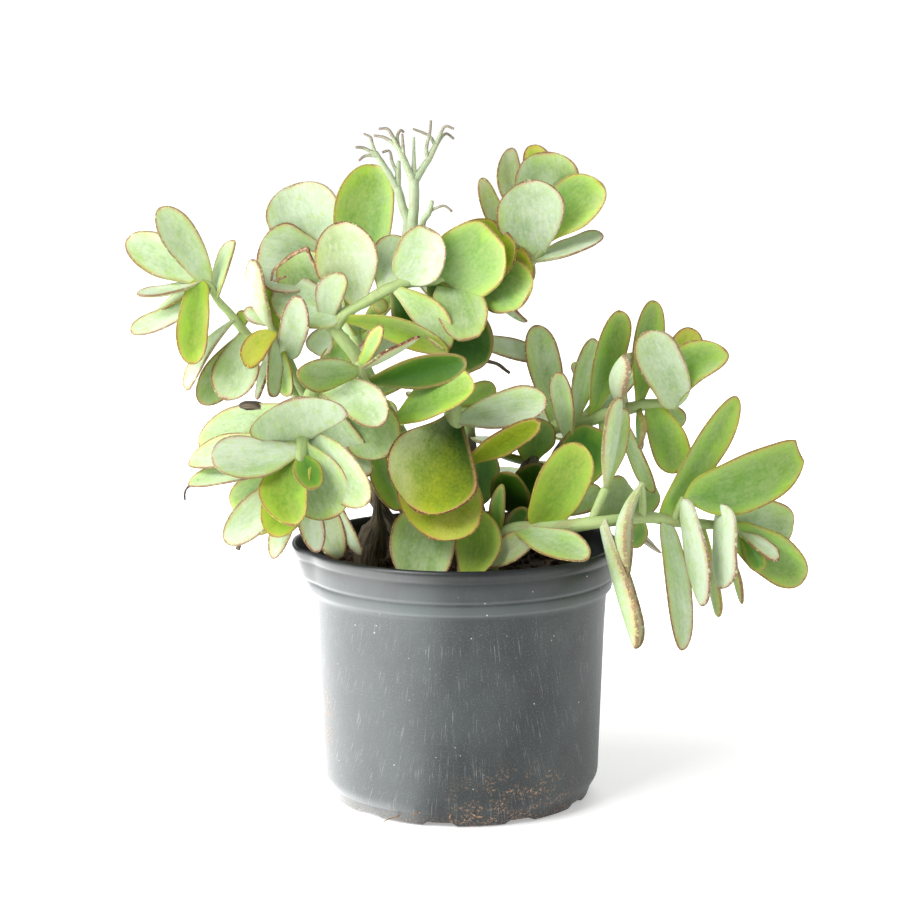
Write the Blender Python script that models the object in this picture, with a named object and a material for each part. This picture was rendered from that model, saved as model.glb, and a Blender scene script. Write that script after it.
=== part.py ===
"""A kalanchoe in a round black nursery pot: leafy shoots, dry flower stalks, soil and pot.

The pot stands on its flat bottom with its axis on Z and the front of the plant towards -Y.
Lengths are typed in millimetres and made into metres by MM.
"""
import math

import bmesh
import bpy
from mathutils import Vector

MM = 0.001

# Pot: a 20 cm squat nursery pot
RIM_RADIUS = 97.5
POT_HEIGHT = 158.5
FOOT_RADIUS = 80.0
WALL = 1.8
FLOOR = 2.2
DRAIN_NOTCHES = 10
POT_SIDES = 40

# Soil
SOIL_LEVEL = 140.0
SOIL_GAP = 0.4
STEM_HOLE_GAP = 1.2
STEM_FOOT = 118.0
STEM_SIDES = 6

# Leaves
LEAF_THICK = 2.8
LEAF_WIDEST = 0.6
LEAF_NECK = 0.24
LEAF_CUP = 0.18
LEAF_STATIONS = (0.0, 0.18, 0.43, 0.7, 0.92)

# The plant was laid out from the front, looking from this point 1.5 m away. A stem point or a leaf tip is
# written as (x, z, depth): x and z are read on the upright plane through the pot's axis, and the point is
# then slid along the line of sight until it is at that depth, where a minus sign is nearer.
EYE = Vector((-6.3, -1500.0, 457.0))

# Stems: points of (x, z, depth, radius). Leaves: joint x and z, tip x, z and depth, width, the way the
# upper face looks. Then come, where they differ from a straight, pointed leaf: how far it arches as a
# share of its length, 1 where the blade is round, how far it bows sideways, the neck's width, and how
# far its sides fold up.
LEFT_HIGH_STEMS = [
    [(-30, 147, 20, 6), (-50, 180, 22, 5.5), (-80, 222, 20, 5), (-108, 258, 14, 4.5), (-129, 284, 8, 4),
     (-139, 297, 4, 3.5), (-147, 306, 2, 3), (-152, 315, 0, 3), (-158, 319, -2, 2.5)],
    [(-80, 222, 20, 4), (-96, 250, 14, 4), (-106, 273, 8, 3.5), (-113, 286, 2, 3), (-117, 293, 0, 2.5)],
]
LEFT_HIGH_LEAVES = [
    (-150, 317, -181.5, 362, -10, 23, (0.35, -1, 0.2), 0, 0, 0.01, 0.45),
    (-158, 316, -201, 343.5, 10, 27, (0, -1, 0.6), 0, 0, 0, 0.4),
    (-158, 315, -196, 309, -15, 18, (0, -0.2, 1), -0.06),
    (-157, 312, -184, 299, 12, 16, (-0.5, -0.3, 1)),
    (-154, 311.5, -200, 286, -8, 22, (-0.3, -0.6, 1), -0.07),
    (-157, 319.5, -163.5, 266.5, -26, 19.5, (0.1, -1, 0.3), 0, 0, 0.01, 0.65),
    (-148.5, 306.5, -136.5, 342.5, 8, 22, (-0.9, -0.5, 0.3), 0.02),
    (-138.5, 292.5, -166.5, 250.5, -22, 18, (-0.8, -0.6, 0.4), 0.07),
    (-133.5, 285, -158.5, 242.5, -4, 24, (0.6, -0.8, 0.2)),
    (-132, 283.5, -143, 244.5, -24, 28, (0, -1, 0.15), 0, 0, -0.02),
    (-131, 288, -132.5, 300, 10, 8, (0.3, -1, 0)),
    (-115, 286.5, -125.5, 331, -14, 16, (0.6, 0.8, 0), -0.12),
    (-111, 285.5, -121.5, 329.5, 6, 15, (0.5, -1, 0), 0, 0, 0.09),
    (-115.5, 286, -129.5, 264.5, -28, 16.5, (0, -1, 0.5), 0, 0, 0.07, 0.6),
    (-117.5, 289, -131, 300.5, 2, 9, (0, -1, 0.3)),
    (-113, 285, -116, 247, -27, 18, (0.9, -0.6, 0)),
    (-112, 283, -124, 245, -2, 12, (-0.9, -0.5, 0)),
    (-108, 278, -104, 247, -4, 18, (-0.8, -0.7, 0)),
    (-102.5, 270.5, -98, 309, -24, 18, (0, -1, 0), 0, 0, 0, 0.7),
]

CROWN_STEMS = [
    [(-12, 147, 15, 7), (-25, 180, 14, 6.5), (-40, 220, 10, 6), (-52, 250, 5, 5.5), (-62, 270, 0, 5),
     (-74, 285, 0, 4.5), (-80, 293, 2, 4), (-84, 303, 6, 3.5), (-86, 315, 10, 3), (-84, 325, 12, 3)],
    [(-76, 288, 1, 4), (-70, 298, -4, 4), (-56, 306, -8, 4), (-43, 313, -10, 4), (-30, 317, -6, 4),
     (-12, 318, 0, 4), (8, 321, 6, 4), (28, 325, 8, 4), (42, 329, 6, 3.5), (50, 339, 6, 3), (54, 352, 8,
     3)],
]
CROWN_LEAVES = [
    (-84, 326, -100.5, 376, 20, 46, (0.1, -1, 0.2)),
    (-81, 324.5, -123, 333.5, 4, 44, (0, -1, 0.35), 0, 0, 0, 0.6),
    (-86, 304, -102, 335, -2, 34, (0, -1, -0.2)),
    (-62, 303, -74, 353.5, -16, 39, (0, -1, 0.2)),
    (-76, 297, -114, 310.5, 2, 30, (0, -1, 0.3), 0, 0, 0.02, 0.6),
    (-81.5, 291.5, -72, 323, -22, 18, (0, -1, 0.1), 0, 0, -0.07, 0.5),
    (-48.5, 311, -36, 345, 6, 26, (0, -1, 0.2), 0, 0, -0.02),
    (-62, 303, -53.5, 388, 26, 36.5, (0, -1, 0.1)),
    (-54, 307, -44.5, 300, -4, 10, (0, -1, 0.2)),
    (-42, 313, -22, 285, -2, 24, (0, -1, 0.1)),
    (-79, 291, -89, 273.5, 8, 17, (0, -1, 0.2)),
    (-73, 284, -76, 262, 14, 20, (0, -1, 0.1)),
    (-31.5, 310.5, -18, 349.5, -20, 31, (0, -1, 0.1), 0, 1, 0.08),
    (-40, 311, -6, 276.5, -26, 20, (-0.4, -0.6, 0.5), 0, 0, -0.07),
    (-8.5, 324, 5.5, 281.5, -30, 31, (0.1, -1, 0.1), 0, 1, -0.02),
    (-12.5, 317.5, 21, 347, -22, 45, (0.1, -1, 0.15), 0, 1, 0.04),
    (-3, 318, 27, 349, -10, 42, (0.1, -1, 0.15), 0, 1),
    (12.5, 324.5, 41.5, 307.5, -16, 36, (0.1, -1, 0.1), 0, 1, -0.04),
    (18, 328, 44, 317, -4, 34, (0.1, -1, 0.1)),
    (24, 330, 44, 331, 12, 26, (0.1, -1, 0.1)),
    (-16, 318, 12, 264, -12, 37, (0, -1, 0.1)),
    (16.5, 322, 40, 292.5, 12, 20, (0.9, 0.3, 0.5), -0.13),
    (46, 335, 39.5, 378.5, -22, 42, (0, -1, 0.2), 0, 0, -0.05),
    (52, 347, 50, 395.5, 4, 40, (0.1, -1, 0.3)),
    (52.5, 343, 85.5, 376.5, -6, 32, (-0.3, -1, 0.2), 0, 0, -0.07),
    (44, 329.5, 86.5, 345, 6, 24, (-0.2, -0.35, 0.9), -0.03, 0, 0, 0.5),
    (52, 348, 29, 397.5, 16, 20, (0.6, -0.8, 0), 0, 0, -0.22),
    (53, 352, 43, 399.5, 26, 20, (0, -1, 0.4)),
    (40, 334, 12, 379.5, 10, 18, (0.7, -0.7, 0.1), 0, 0, -0.12),
    (-72.5, 296, -6.5, 276, -28, 24, (0.1, -0.8, -0.6), -0.07),
]

CENTRE_STEMS = [
    [(-4, 146, -14, 6), (-16, 180, -10, 5.5), (-32, 215, -8, 5), (-45, 238, -8, 4.5), (-54, 252, -12,
     4), (-60, 262, -20, 3.5), (-61, 268, -22, 3)],
]
CENTRE_LEAVES = [
    (-55, 257, 3.3, 270.5, -56, 26, (0, -0.9, -0.5)),
    (-57.5, 265.5, -47, 290.5, -38, 11, (-0.6, -0.8, 0), 0, 0, 0, 0.5),
    (-59, 264.5, -25, 284, -50, 15, (-0.2, 0.1, 1), -0.02),
    (-60, 263, -99.5, 262.5, -46, 24, (0, -0.9, -0.3)),
    (-40, 232.5, 9, 252.5, -64, 34, (0, -0.9, 0.6), 0, 0, -0.05),
]

MIDDLE_STEMS = [
    [(14, 146, 2, 7), (9, 175, -10, 6.5), (2, 205, -14, 6), (-4, 232, -12, 5.5), (-6, 258, -4, 5), (-6,
     285, 6, 4.5), (-2, 305, 14, 4)],
]
MIDDLE_LEAVES = [
    (-4, 233, 53.5, 243, -34, 29, (0, -0.8, 0.7)),
    (-5, 242, 21.5, 253, 6, 15, (0, -1, 0.2)),
    (2, 206, 48, 233, -46, 19, (0.3, -0.9, -0.2)),
    (-5, 233, -26, 175, -74, 57, (0.05, -1, 0.15), 0, 0, 0.02),
    (4.5, 209.5, -18.5, 158.5, -72, 54, (0, -1, 0.15), 0, 0, 0.04),
    (-6, 284, 52, 270, 26, 17, (0, -0.7, 0.7)),
    (11, 180.5, 16.5, 213, 22, 21, (0.1, -1, 0.1), 0, 1),
]

FRONT_STEMS = [
    [(2, 144, -34, 4), (-2, 165, -31, 4), (-6, 186, -30, 3.5)],
]
FRONT_LEAVES = [
    (-6, 184, -29, 128, -72, 40, (0, -1, 0.1), 0, 0, 0.06),
    (-5.5, 185.5, 5.5, 132, -60, 30, (0.2, -1, 0.1), 0, 0, -0.2),
]

LEFT_LOW_STEMS = [
    [(-56, 147, 0, 10), (-53.5, 160, 0, 9.5), (-51.5, 167, 0, 6.5), (-51, 175, 0, 3), (-52, 192, -2,
     2.8), (-58, 225, -3, 3.2), (-71, 247, -4, 4), (-82, 256, -8, 4.5), (-90, 250, -20, 4.5), (-94, 236,
     -36, 4.2), (-97, 219, -58, 4), (-98, 209, -68, 3.5), (-99, 200, -74, 3)],
]
LEFT_LOW_LEAVES = [
    (-85, 256, -47, 229.5, -62, 26, (0.2, -1, 0.3), 0, 0, -0.06, 0.6),
    (-72, 248, -43, 211, -44, 36, (0, -1, 0.2)),
    (-97, 220, -102, 246.5, -78, 58, (0, -0.9, 0.45)),
    (-89, 240, -160, 216, -28, 34, (0, -0.8, 0.6)),
    (-97, 214, -166.5, 206, -52, 27, (0, -0.6, 0.8), 0.07, 0, 0, 0.5),
    (-98, 213, -152, 206, -88, 32, (0, -0.75, 0.7)),
    (-98, 205, -167, 193, -62, 22, (0, -0.5, 1)),
    (-99, 203, -141, 180, -54, 22, (0, -0.9, 0.4)),
    (-99, 204, -144.5, 156, -84, 22, (0.4, -0.8, 0.5)),
    (-99, 208.5, -104, 166.5, -104, 29, (0, -1, 0.5), 0, 0, 0.13, 0.7),
    (-98, 212, -90, 189, -88, 18, (0.3, -1, 0.2)),
    (-96, 218, -77.5, 171.5, -78, 36, (0, -1, 0.3)),
    (-94, 228, -56, 181, -84, 28, (-0.35, -0.9, 0)),
    (-86, 248, -56, 197.5, -40, 24, (0.2, -1, 0.1), 0, 0, 0.03),
    (-98, 206, -88, 150, -76, 16, (0.3, -1, 0)),
    (-97, 212, -74, 146, -48, 20, (0.1, -1, 0)),
    (-95, 217, -60.5, 148, -50, 14, (-0.6, -0.8, 0)),
    (-99, 202, -115.5, 146, -84, 14, (-0.2, -1, 0)),
    (-99, 200, -116, 160, -92, 26, (0.1, -1, 0.2)),
    (-99, 200, -132, 163, -70, 24, (0.2, -1, 0.2)),
    (-66, 220, -37.5, 176, -22, 17, (0.2, -1, 0.2)),
]

RIGHT_HIGH_STEMS = [
    [(30, 147, 10, 6), (34, 175, 14, 5.5), (42, 205, 18, 5), (54, 226, 18, 4.5), (69, 230, 14, 4.5),
     (83, 234, 10, 4), (97, 238, 8, 4), (112, 242, 6, 3.5), (122, 242.5, 6, 3), (133, 241.5, 5, 2.5)],
]
RIGHT_HIGH_LEAVES = [
    (58, 228, 45.5, 291, 14, 21.5, (0.1, -1, 0)),
    (68, 231, 81, 283, 18, 16, (0.2, -1, 0)),
    (78, 239, 96.5, 300, -6, 24, (0.5, -0.85, 0), 0, 0, 0.01),
    (101, 239.5, 100, 272.5, -22, 21, (1, -0.25, 0), -0.17, 0, 0, 0.24, 1),
    (108, 247.5, 109.5, 215, -14, 13, (1, 0.1, 0), 0, 0, 0, 0.24, 0.6),
    (108, 241, 117, 306, 20, 22, (0.4, -0.9, 0)),
    (133, 242.5, 111, 286.5, -20, 28, (0.1, -1, 0.1), 0, 0, 0.02, 0.7),
    (127, 256.5, 161.5, 276, 2, 26, (-0.1, -1, 0.2), 0, 0, -0.18, 0.5),
    (126, 249, 141, 289, 18, 22, (0.1, -1, 0.1)),
    (116.5, 239.5, 134, 200, -4, 24, (0.1, -1, 0), 0, 0, 0, 0.5),
    (119, 245, 137, 230.5, 16, 13, (0, -1, 0)),
    (98, 238, 119.6, 187.5, -6, 18, (-0.8, -0.5, -0.2)),
    (84, 234, 96, 221, 10, 14, (0, -1, 0)),
    (35, 178, 52, 205, 4, 28, (0, -1, 0)),
    (42, 204, 47, 234, 4, 26, (0.2, -1, 0)),
    (41, 174, 30, 200.5, -28, 26, (-0.2, -1, 0.3), 0, 1),
]

RIGHT_LOW_STEMS = [
    [(18, 146, -25, 6.5), (29, 162, -29, 6), (45, 165, -31, 5.5), (62, 166, -35, 5), (80, 168.5, -47,
     4.5), (97, 170.5, -46, 4), (117, 172, -34, 4), (133, 169.5, -28, 4), (149, 168, -24, 3.5), (165,
     166, -22, 3), (174, 160, -22, 2.5)],
    [(158, 167, -23, 2.5), (160, 175, -27, 2.3), (161, 180, -32, 2)],
    [(131, 170, -29, 2.8), (135, 180, -32, 2.4), (137, 184, -35, 2)],
    [(112, 172, -38, 2.6), (112, 184, -40, 2.4), (111, 194, -44, 2)],
    [(80, 168.5, -46, 3), (84, 178, -45, 3), (89, 190, -41, 3)],
    [(56, 166, -33, 3.5), (63, 182, -12, 3), (66, 200, 0, 2.8), (67, 216, 0, 2.5)],
]
RIGHT_LOW_LEAVES = [
    (51, 152.5, 16, 141.5, -46, 19, (0, -0.7, 0.7)),
    (35, 166, 78.5, 145.5, -86, 25, (0.1, -0.75, 0.65), 0, 0, -0.02, 0.3),
    (46.5, 164, 73, 218.5, -44, 32, (0.2, -1, 0.1), 0, 0, 0.02, 0.55),
    (24, 155, 25.5, 193, -34, 10, (0, -1, 0.1), 0, 0, -0.05),
    (67, 216, 61, 262.5, -8, 20, (-0.75, -0.7, 0)),
    (64, 184, 83, 228, 0, 32, (0.1, -1, 0.1)),
    (63, 172, 87, 189, -8, 17, (0, -1, 0.3)),
    (97, 171, 121, 189, 18, 18, (0, -1, 0.1)),
    (84, 169, 103, 193, 10, 24, (0, -1, 0.1)),
    (26, 158, 41, 178, -20, 12, (0, -1, 0.2)),
    (123, 170.5, 169, 247, 0, 21, (0.4, -0.9, 0.3), 0, 0, 0.02, 0.55),
    (146.5, 183, 207.5, 213.5, -4, 34, (0, -1, 0.2), 0, 1, 0.08, 0.8),
    (160, 167, 205, 168, 10, 34, (0, -1, 0.1)),
    (166.5, 168, 212.5, 132.5, -22, 29, (0.2, -1, 0.3), 0, 0, 0, 0.5),
    (171, 166, 196, 144.5, -40, 13, (0, -0.5, 0.9), 0, 0, -0.06),
    (173, 161, 186, 138, -36, 13, (0, -1, 0.2)),
    (160.5, 181, 161.5, 127, -44, 22, (0.75, 0.6, 0), 0, 0, 0, 0.8),
    (137, 183.5, 150, 116, -52, 21, (0.75, 0.6, 0), 0, 0, 0, 0.65),
    (124.5, 167, 137.5, 88, -58, 19, (0.5, -0.85, 0), 0, 0, -0.03, 0.7),
    (86.5, 166, 108.5, 89, -86, 20, (1, -0.3, 0), -0.01, 0, 0, 0.4, 0.95),
    (111.5, 193.5, 101, 133.5, -70, 17, (1, -0.3, 0), -0.15, 0, 0, 0.24, 0.95),
    (111, 173, 106, 153, -30, 14, (0.3, -1, 0)),
    (98, 170, 122, 151, 18, 16, (0, -0.7, 0.7)),
    (150, 168, 159, 109.5, 8, 14, (0.9, 0.5, 0)),
    (162, 166, 174, 117.5, 4, 10, (0.9, 0.5, 0)),
    (89, 190, 97, 247, -42, 18, (-0.75, 0.6, 0)),
    (89, 190, 100, 240, -28, 16, (0.6, -0.8, 0)),
]


# Dry twigs and a withered stub that hang on two of the shoots
MIDDLE_TWIGS = [
    [(-6, 262, -3, 1.8), (6, 268, 2, 1.5), (20, 268, 6, 1.2), (30, 261.5, 8, 1)],
]
LEFT_LOW_TWIGS = [
    [(-99, 201, -73, 2.2), (-118, 180, -62, 2), (-133, 162, -58, 1.8), (-137, 152, -57, 1.4)],
    [(-160, 194.5, -62.5, 1.6), (-167, 191, -62, 0.8), (-169, 187, -61, 0.7), (-169, 183, -61, 0.6)],
    [(-116, 238, -25, 2.2), (-123, 240, -24, 3.8), (-130, 241, -23, 3.6), (-135, 240, -23, 1.8)],
]

# Dry flower stalks of the crown, then the curled ends of their forks
FLOWER_STALKS = [
    [(-30, 317, -6, 3.2), (-30, 335, -2, 2.8), (-29, 350, 0, 2.6), (-28, 366, 0, 2.5), (-28, 379, 0, 2.4)],
    [(-28, 377, 0, 2), (-31.5, 385, -1, 1.7), (-34, 391, -2, 1.5), (-37, 398, -3, 1.3)],
    [(-28, 377, 0, 1.6), (-28, 392, 1, 0.9), (-28, 404, 2, 0.6)],
    [(-28, 377, 0, 2), (-22.5, 386, 2, 1.7), (-19, 391, 3, 1.5), (-14.5, 400, 4, 1.3)],
    [(-34, 316, -5, 2.6), (-34, 335, 2, 2.4), (-32, 352, 4, 2.2), (-35, 363, 5, 2.1), (-38, 374, 6, 2)],
    [(-38, 373, 6, 1.8), (-43, 382, 5, 1.6), (-48, 390, 4, 1.4), (-51, 395, 3, 1.2)],
    [(-38, 373, 6, 1.6), (-37.5, 382, 7, 1.4), (-37, 390, 8, 0.8)],
    [(-24, 318, -3, 2), (-23, 335, -2, 1.8), (-23, 352, -4, 1.6), (-19, 359, -6, 1.4), (-17, 366, -7, 1)],
]
FLOWER_CURLS = [
    [(-19.5, 358, -6, 1), (-17, 360.5, -6, 0.8), (-10, 363, -7, 0.7), (-5, 359.5, -8, 0.6)],
    [(-51, 394, 3, 1), (-58, 397.5, 2, 0.8), (-63, 398, 1, 0.6)],
    [(-50, 393, 3, 1), (-57, 393, 2, 0.8), (-61, 390, 0, 0.6)],
    [(-51, 394, 3, 1), (-53, 400, 4, 0.8), (-54, 404, 4, 0.7), (-58, 406, 5, 0.6)],
    [(-37, 397, -3, 1.2), (-41, 401, -2, 1), (-46, 404, -1, 0.8), (-52, 405, 0, 0.6)],
    [(-37, 397, -3, 1.1), (-41, 405, -4, 0.9), (-44, 409, -4, 0.7), (-49, 409, -4, 0.6)],
    [(-37, 397, -3, 1), (-38, 404, -2, 0.8), (-36, 408, -2, 0.7), (-34, 407, -1, 0.6)],
    [(-34, 390, -2, 1.1), (-34.5, 398, -4, 0.8), (-35, 406, -6, 0.6)],
    [(-38, 383, 7, 1), (-41, 389, 8, 0.8), (-42.6, 395.6, 9, 0.7), (-47, 395, 9, 0.6)],
    [(-19, 390, 3, 1.1), (-20.5, 397, 2, 0.9), (-18.5, 406, 1, 0.7), (-17.7, 414, 0, 0.6)],
    [(-15, 399, 4, 1), (-18, 404, 5, 0.8), (-22, 406.5, 6, 0.7), (-28.6, 409, 6, 0.6)],
    [(-14.8, 399, 4, 1), (-12, 406, 3, 0.8), (-9, 410.5, 2, 0.7), (-4, 409, 1, 0.6)],
    [(-14.8, 399, 4, 1), (-11, 404.5, 6, 0.8), (-8, 406, 7, 0.7), (-4, 403, 8, 0.6)],
]

# Back shoots, which the front hides: a stem of plain (x, y, z, radius) points, and opposite pairs of
# leaves as (share along the stem, compass angle, rise angle, length, width)
BACK_ARCH = -0.05
BACK_SHOOTS = {
    "shoot_back_left": (
        [(-24, 42, 143, 6), (-38, 58, 180, 5.5), (-52, 72, 222, 5), (-62, 82, 258, 4.5), (-70, 88, 285, 3.5),
         (-74, 90, 300, 3)],
        [(0.34, 5, 14, 34, 22), (0.48, 95, 18, 42, 24), (0.60, 40, 26, 36, 24), (0.72, 110, 30, 52, 28),
         (0.84, 30, 44, 40, 25), (0.95, 120, 60, 44, 24)]),
    "shoot_back_middle": (
        [(4, 50, 143, 6.5), (6, 66, 184, 6), (4, 80, 226, 5), (0, 88, 264, 4.5), (-4, 92, 290, 3.5),
         (-6, 94, 304, 3)],
        [(0.30, 95, 2, 52, 26), (0.43, 160, -6, 38, 25), (0.55, 12, 12, 40, 26), (0.67, 70, 20, 28, 24),
         (0.79, 80, 36, 52, 29), (0.90, 160, 44, 40, 26), (0.985, 75, 66, 34, 22)]),
    "shoot_back_right": (
        [(36, 38, 143, 6), (48, 52, 172, 5.5), (62, 64, 198, 5), (78, 76, 218, 4.5), (92, 83, 236, 3.5),
         (98, 86, 246, 3)],
        [(0.34, 120, 6, 54, 26), (0.48, 40, 14, 54, 26), (0.62, 124, 16, 54, 28), (0.76, 45, 34, 54, 27),
         (0.90, 130, 40, 32, 22)]),
}

FRONT_SHOOTS = {
    "shoot_left_high": (LEFT_HIGH_STEMS, LEFT_HIGH_LEAVES, [], []),
    "shoot_crown": (CROWN_STEMS, CROWN_LEAVES, FLOWER_STALKS, FLOWER_CURLS),
    "shoot_centre": (CENTRE_STEMS, CENTRE_LEAVES, [], []),
    "shoot_middle": (MIDDLE_STEMS, MIDDLE_LEAVES, [], MIDDLE_TWIGS),
    "shoot_front": (FRONT_STEMS, FRONT_LEAVES, [], []),
    "shoot_left_low": (LEFT_LOW_STEMS, LEFT_LOW_LEAVES, [], LEFT_LOW_TWIGS),
    "shoot_right_high": (RIGHT_HIGH_STEMS, RIGHT_HIGH_LEAVES, [], []),
    "shoot_right_low": (RIGHT_LOW_STEMS, RIGHT_LOW_LEAVES, [], []),
}

# Principled colours: red, green, blue, roughness
COLOURS = {
    "pot_plastic": (0.045, 0.048, 0.054, 0.42),
    "soil": (0.05, 0.032, 0.02, 0.95),
    "leaf": (0.33, 0.46, 0.19, 0.5),
}


def material(name):
    """A Principled material of one colour."""
    red, green, blue, rough = COLOURS[name]
    mat = bpy.data.materials.get(name) or bpy.data.materials.new(name)
    mat.use_nodes = True
    shader = mat.node_tree.nodes["Principled BSDF"]
    shader.inputs["Base Color"].default_value = (red, green, blue, 1.0)
    shader.inputs["Roughness"].default_value = rough
    shader.inputs["Metallic"].default_value = 0.0
    return mat


def seen(x, z, depth):
    """The point seen at (x, z) on the pot's axis plane, slid along the line of sight to its depth."""
    return EYE + (Vector((x, 0.0, z)) - EYE) * (1.0 + depth / -EYE.y)


def smooth_path(points, steps):
    """Catmull-Rom curve through rows of numbers."""
    rows = []
    last = len(points) - 1
    for i in range(last):
        p0, p1 = points[max(i - 1, 0)], points[i]
        p2, p3 = points[i + 1], points[min(i + 2, last)]
        for k in range(steps):
            t = k / steps
            rows.append([0.5 * (2 * b + (c - a) * t + (2 * a - 5 * b + 4 * c - d) * t * t
                                + (3 * b - a - 3 * c + d) * t ** 3)
                         for a, b, c, d in zip(p0, p1, p2, p3)])
    rows.append(list(points[-1]))
    return rows


def seen_path(points, steps):
    """Real rows (x, y, z, radius) of a stem, and the same rows as they are seen from the front."""
    real = smooth_path([list(seen(x, z, d)) + [r] for x, z, d, r in points], steps)
    flat = []
    for x, y, z, r in real:
        scale = -EYE.y / (y - EYE.y)
        flat.append((EYE.x + (x - EYE.x) * scale, EYE.z + (z - EYE.z) * scale))
    return real, flat


def outline(s, blunt, neck):
    """Half width of a leaf at the share s of its length, as a share of the greatest."""
    if blunt:
        return math.sqrt(max(1.0 - abs((s - 0.52) / 0.52) ** 2.2, 0.03))
    if s < LEAF_WIDEST:
        return neck + (1.0 - neck) * math.sin(0.5 * math.pi * s / LEAF_WIDEST) ** 1.35
    return math.sqrt(max(1.0 - ((s - LEAF_WIDEST) / (1.0 - LEAF_WIDEST)) ** 2.2, 0.0))


def add_leaf(name, root, tip, width, face, arch=0.0, blunt=0, bow=0.0, neck=LEAF_NECK, cup=LEAF_CUP):
    """A closed cupped blade: left edge, face, right edge and back at each station, and a tip point."""
    along = tip - root
    length = along.length
    along.normalize()
    up = Vector(face)
    up = (up - up.dot(along) * along).normalized()
    side = along.cross(up)
    bm = bmesh.new()
    rings = []
    for s in LEAF_STATIONS:
        half = 0.5 * width * outline(s, blunt, neck)
        swing = 4.0 * length * s * (1.0 - s)
        mid = root + along * (s * length) + up * (arch * swing) + side * (bow * swing)
        thick = 0.5 * LEAF_THICK * (0.75 + 0.25 * math.sin(math.pi * s))
        lift = up * (cup * half)
        rings.append([bm.verts.new(p * MM) for p in (
            mid - side * half + lift, mid + up * thick, mid + side * half + lift, mid - up * thick)])
    end = bm.verts.new(tip * MM)
    for one, two in zip(rings, rings[1:]):
        for k in range(4):
            a, b, c, d = one[k], one[(k + 1) % 4], two[(k + 1) % 4], two[k]
            # The split runs from the middle outwards on both faces
            if k % 2:
                bm.faces.new((a, b, d))
                bm.faces.new((b, c, d))
            else:
                bm.faces.new((a, b, c))
                bm.faces.new((a, c, d))
    for k in range(4):
        bm.faces.new((rings[-1][k], rings[-1][(k + 1) % 4], end))
    bm.faces.new((rings[0][0], rings[0][1], rings[0][3]))
    bm.faces.new((rings[0][1], rings[0][2], rings[0][3]))
    return finish(name, bm)


def add_tube(name, rows, sides):
    """A closed round stem along rows of (x, y, z, radius)."""
    bm = bmesh.new()
    across = Vector((1.0, 0.2, 0.1))
    rings = []
    for i, row in enumerate(rows):
        before, after = rows[max(i - 1, 0)], rows[min(i + 1, len(rows) - 1)]
        ahead = (Vector(after[:3]) - Vector(before[:3])).normalized()
        across = (across - across.dot(ahead) * ahead).normalized()
        other = ahead.cross(across)
        ring = []
        for k in range(sides):
            turn = 2.0 * math.pi * k / sides
            spot = Vector(row[:3]) + row[3] * (math.cos(turn) * across + math.sin(turn) * other)
            ring.append(bm.verts.new(spot * MM))
        rings.append(ring)
    for one, two in zip(rings, rings[1:]):
        for k in range(sides):
            bm.faces.new((one[k], one[(k + 1) % sides], two[(k + 1) % sides], two[k]))
    bm.faces.new(rings[0])
    bm.faces.new(rings[-1])
    return finish(name, bm)


def finish(name, bm):
    """Turn the faces outwards and make the object."""
    bmesh.ops.recalc_face_normals(bm, faces=bm.faces)
    mesh = bpy.data.meshes.new(name)
    bm.to_mesh(mesh)
    bm.free()
    obj = bpy.data.objects.new(name, mesh)
    bpy.context.collection.objects.link(obj)
    return obj


def unite(base, pieces):
    """Fuse the pieces into the base with one Boolean on a collection, then remove them."""
    group = bpy.data.collections.new(base.name + "_pieces")
    bpy.context.scene.collection.children.link(group)
    for piece in pieces:
        bpy.context.collection.objects.unlink(piece)
        group.objects.link(piece)
    join = base.modifiers.new("Join", "BOOLEAN")
    join.operation = "UNION"
    join.operand_type = "COLLECTION"
    join.collection = group
    join.solver = "EXACT"
    bpy.context.view_layer.update()
    graph = bpy.context.evaluated_depsgraph_get()
    mesh = bpy.data.meshes.new_from_object(base.evaluated_get(graph))
    base.modifiers.remove(join)
    base.data = mesh
    for piece in pieces:
        bpy.data.objects.remove(piece)
    bpy.data.collections.remove(group)


def dress(obj, mat_name, smooth=40.0):
    obj.data.materials.clear()
    obj.data.materials.append(material(mat_name))
    obj.data.polygons.foreach_set("material_index", [0] * len(obj.data.polygons))
    obj.data.shade_smooth()
    obj.data.set_sharp_from_angle(angle=math.radians(smooth))


def rooted(rows):
    """Let the stem run straight down from its first point into the soil."""
    x, y, z, r = rows[0]
    return [(x, y, STEM_FOOT, r)] + rows


def front_shoot(name, stems, leaves, stalks, thin):
    """One leafy shoot that was laid out from the front."""
    pieces = []
    real, flat = [], []
    base = None
    for i, stem in enumerate(stems):
        rows, sight = seen_path(stem, 6)
        real += rows
        flat += sight
        tube_rows = rooted(rows[::6]) if i == 0 else rows[::6]
        tube = add_tube(f"{name}_stem_{i}" if i else name, tube_rows, STEM_SIDES)
        if base is None:
            base = tube
        else:
            pieces.append(tube)
    for i, stalk in enumerate(stalks):
        pieces.append(add_tube(f"{name}_stalk_{i}", seen_path(stalk, 1)[0], STEM_SIDES - 1))
    for i, curl in enumerate(thin):
        pieces.append(add_tube(f"{name}_thin_{i}", seen_path(curl, 1)[0], STEM_SIDES - 2))
    for i, (jx, jz, tx, tz, depth, width, face, *form) in enumerate(leaves):
        spot = min(range(len(flat)), key=lambda k: (flat[k][0] - jx) ** 2 + (flat[k][1] - jz) ** 2)
        root = Vector(real[spot][:3])
        pieces.append(add_leaf(f"{name}_leaf_{i}", root, seen(tx, tz, depth), width, face, *form))
    unite(base, pieces)
    dress(base, "leaf")
    return real[0]


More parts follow.
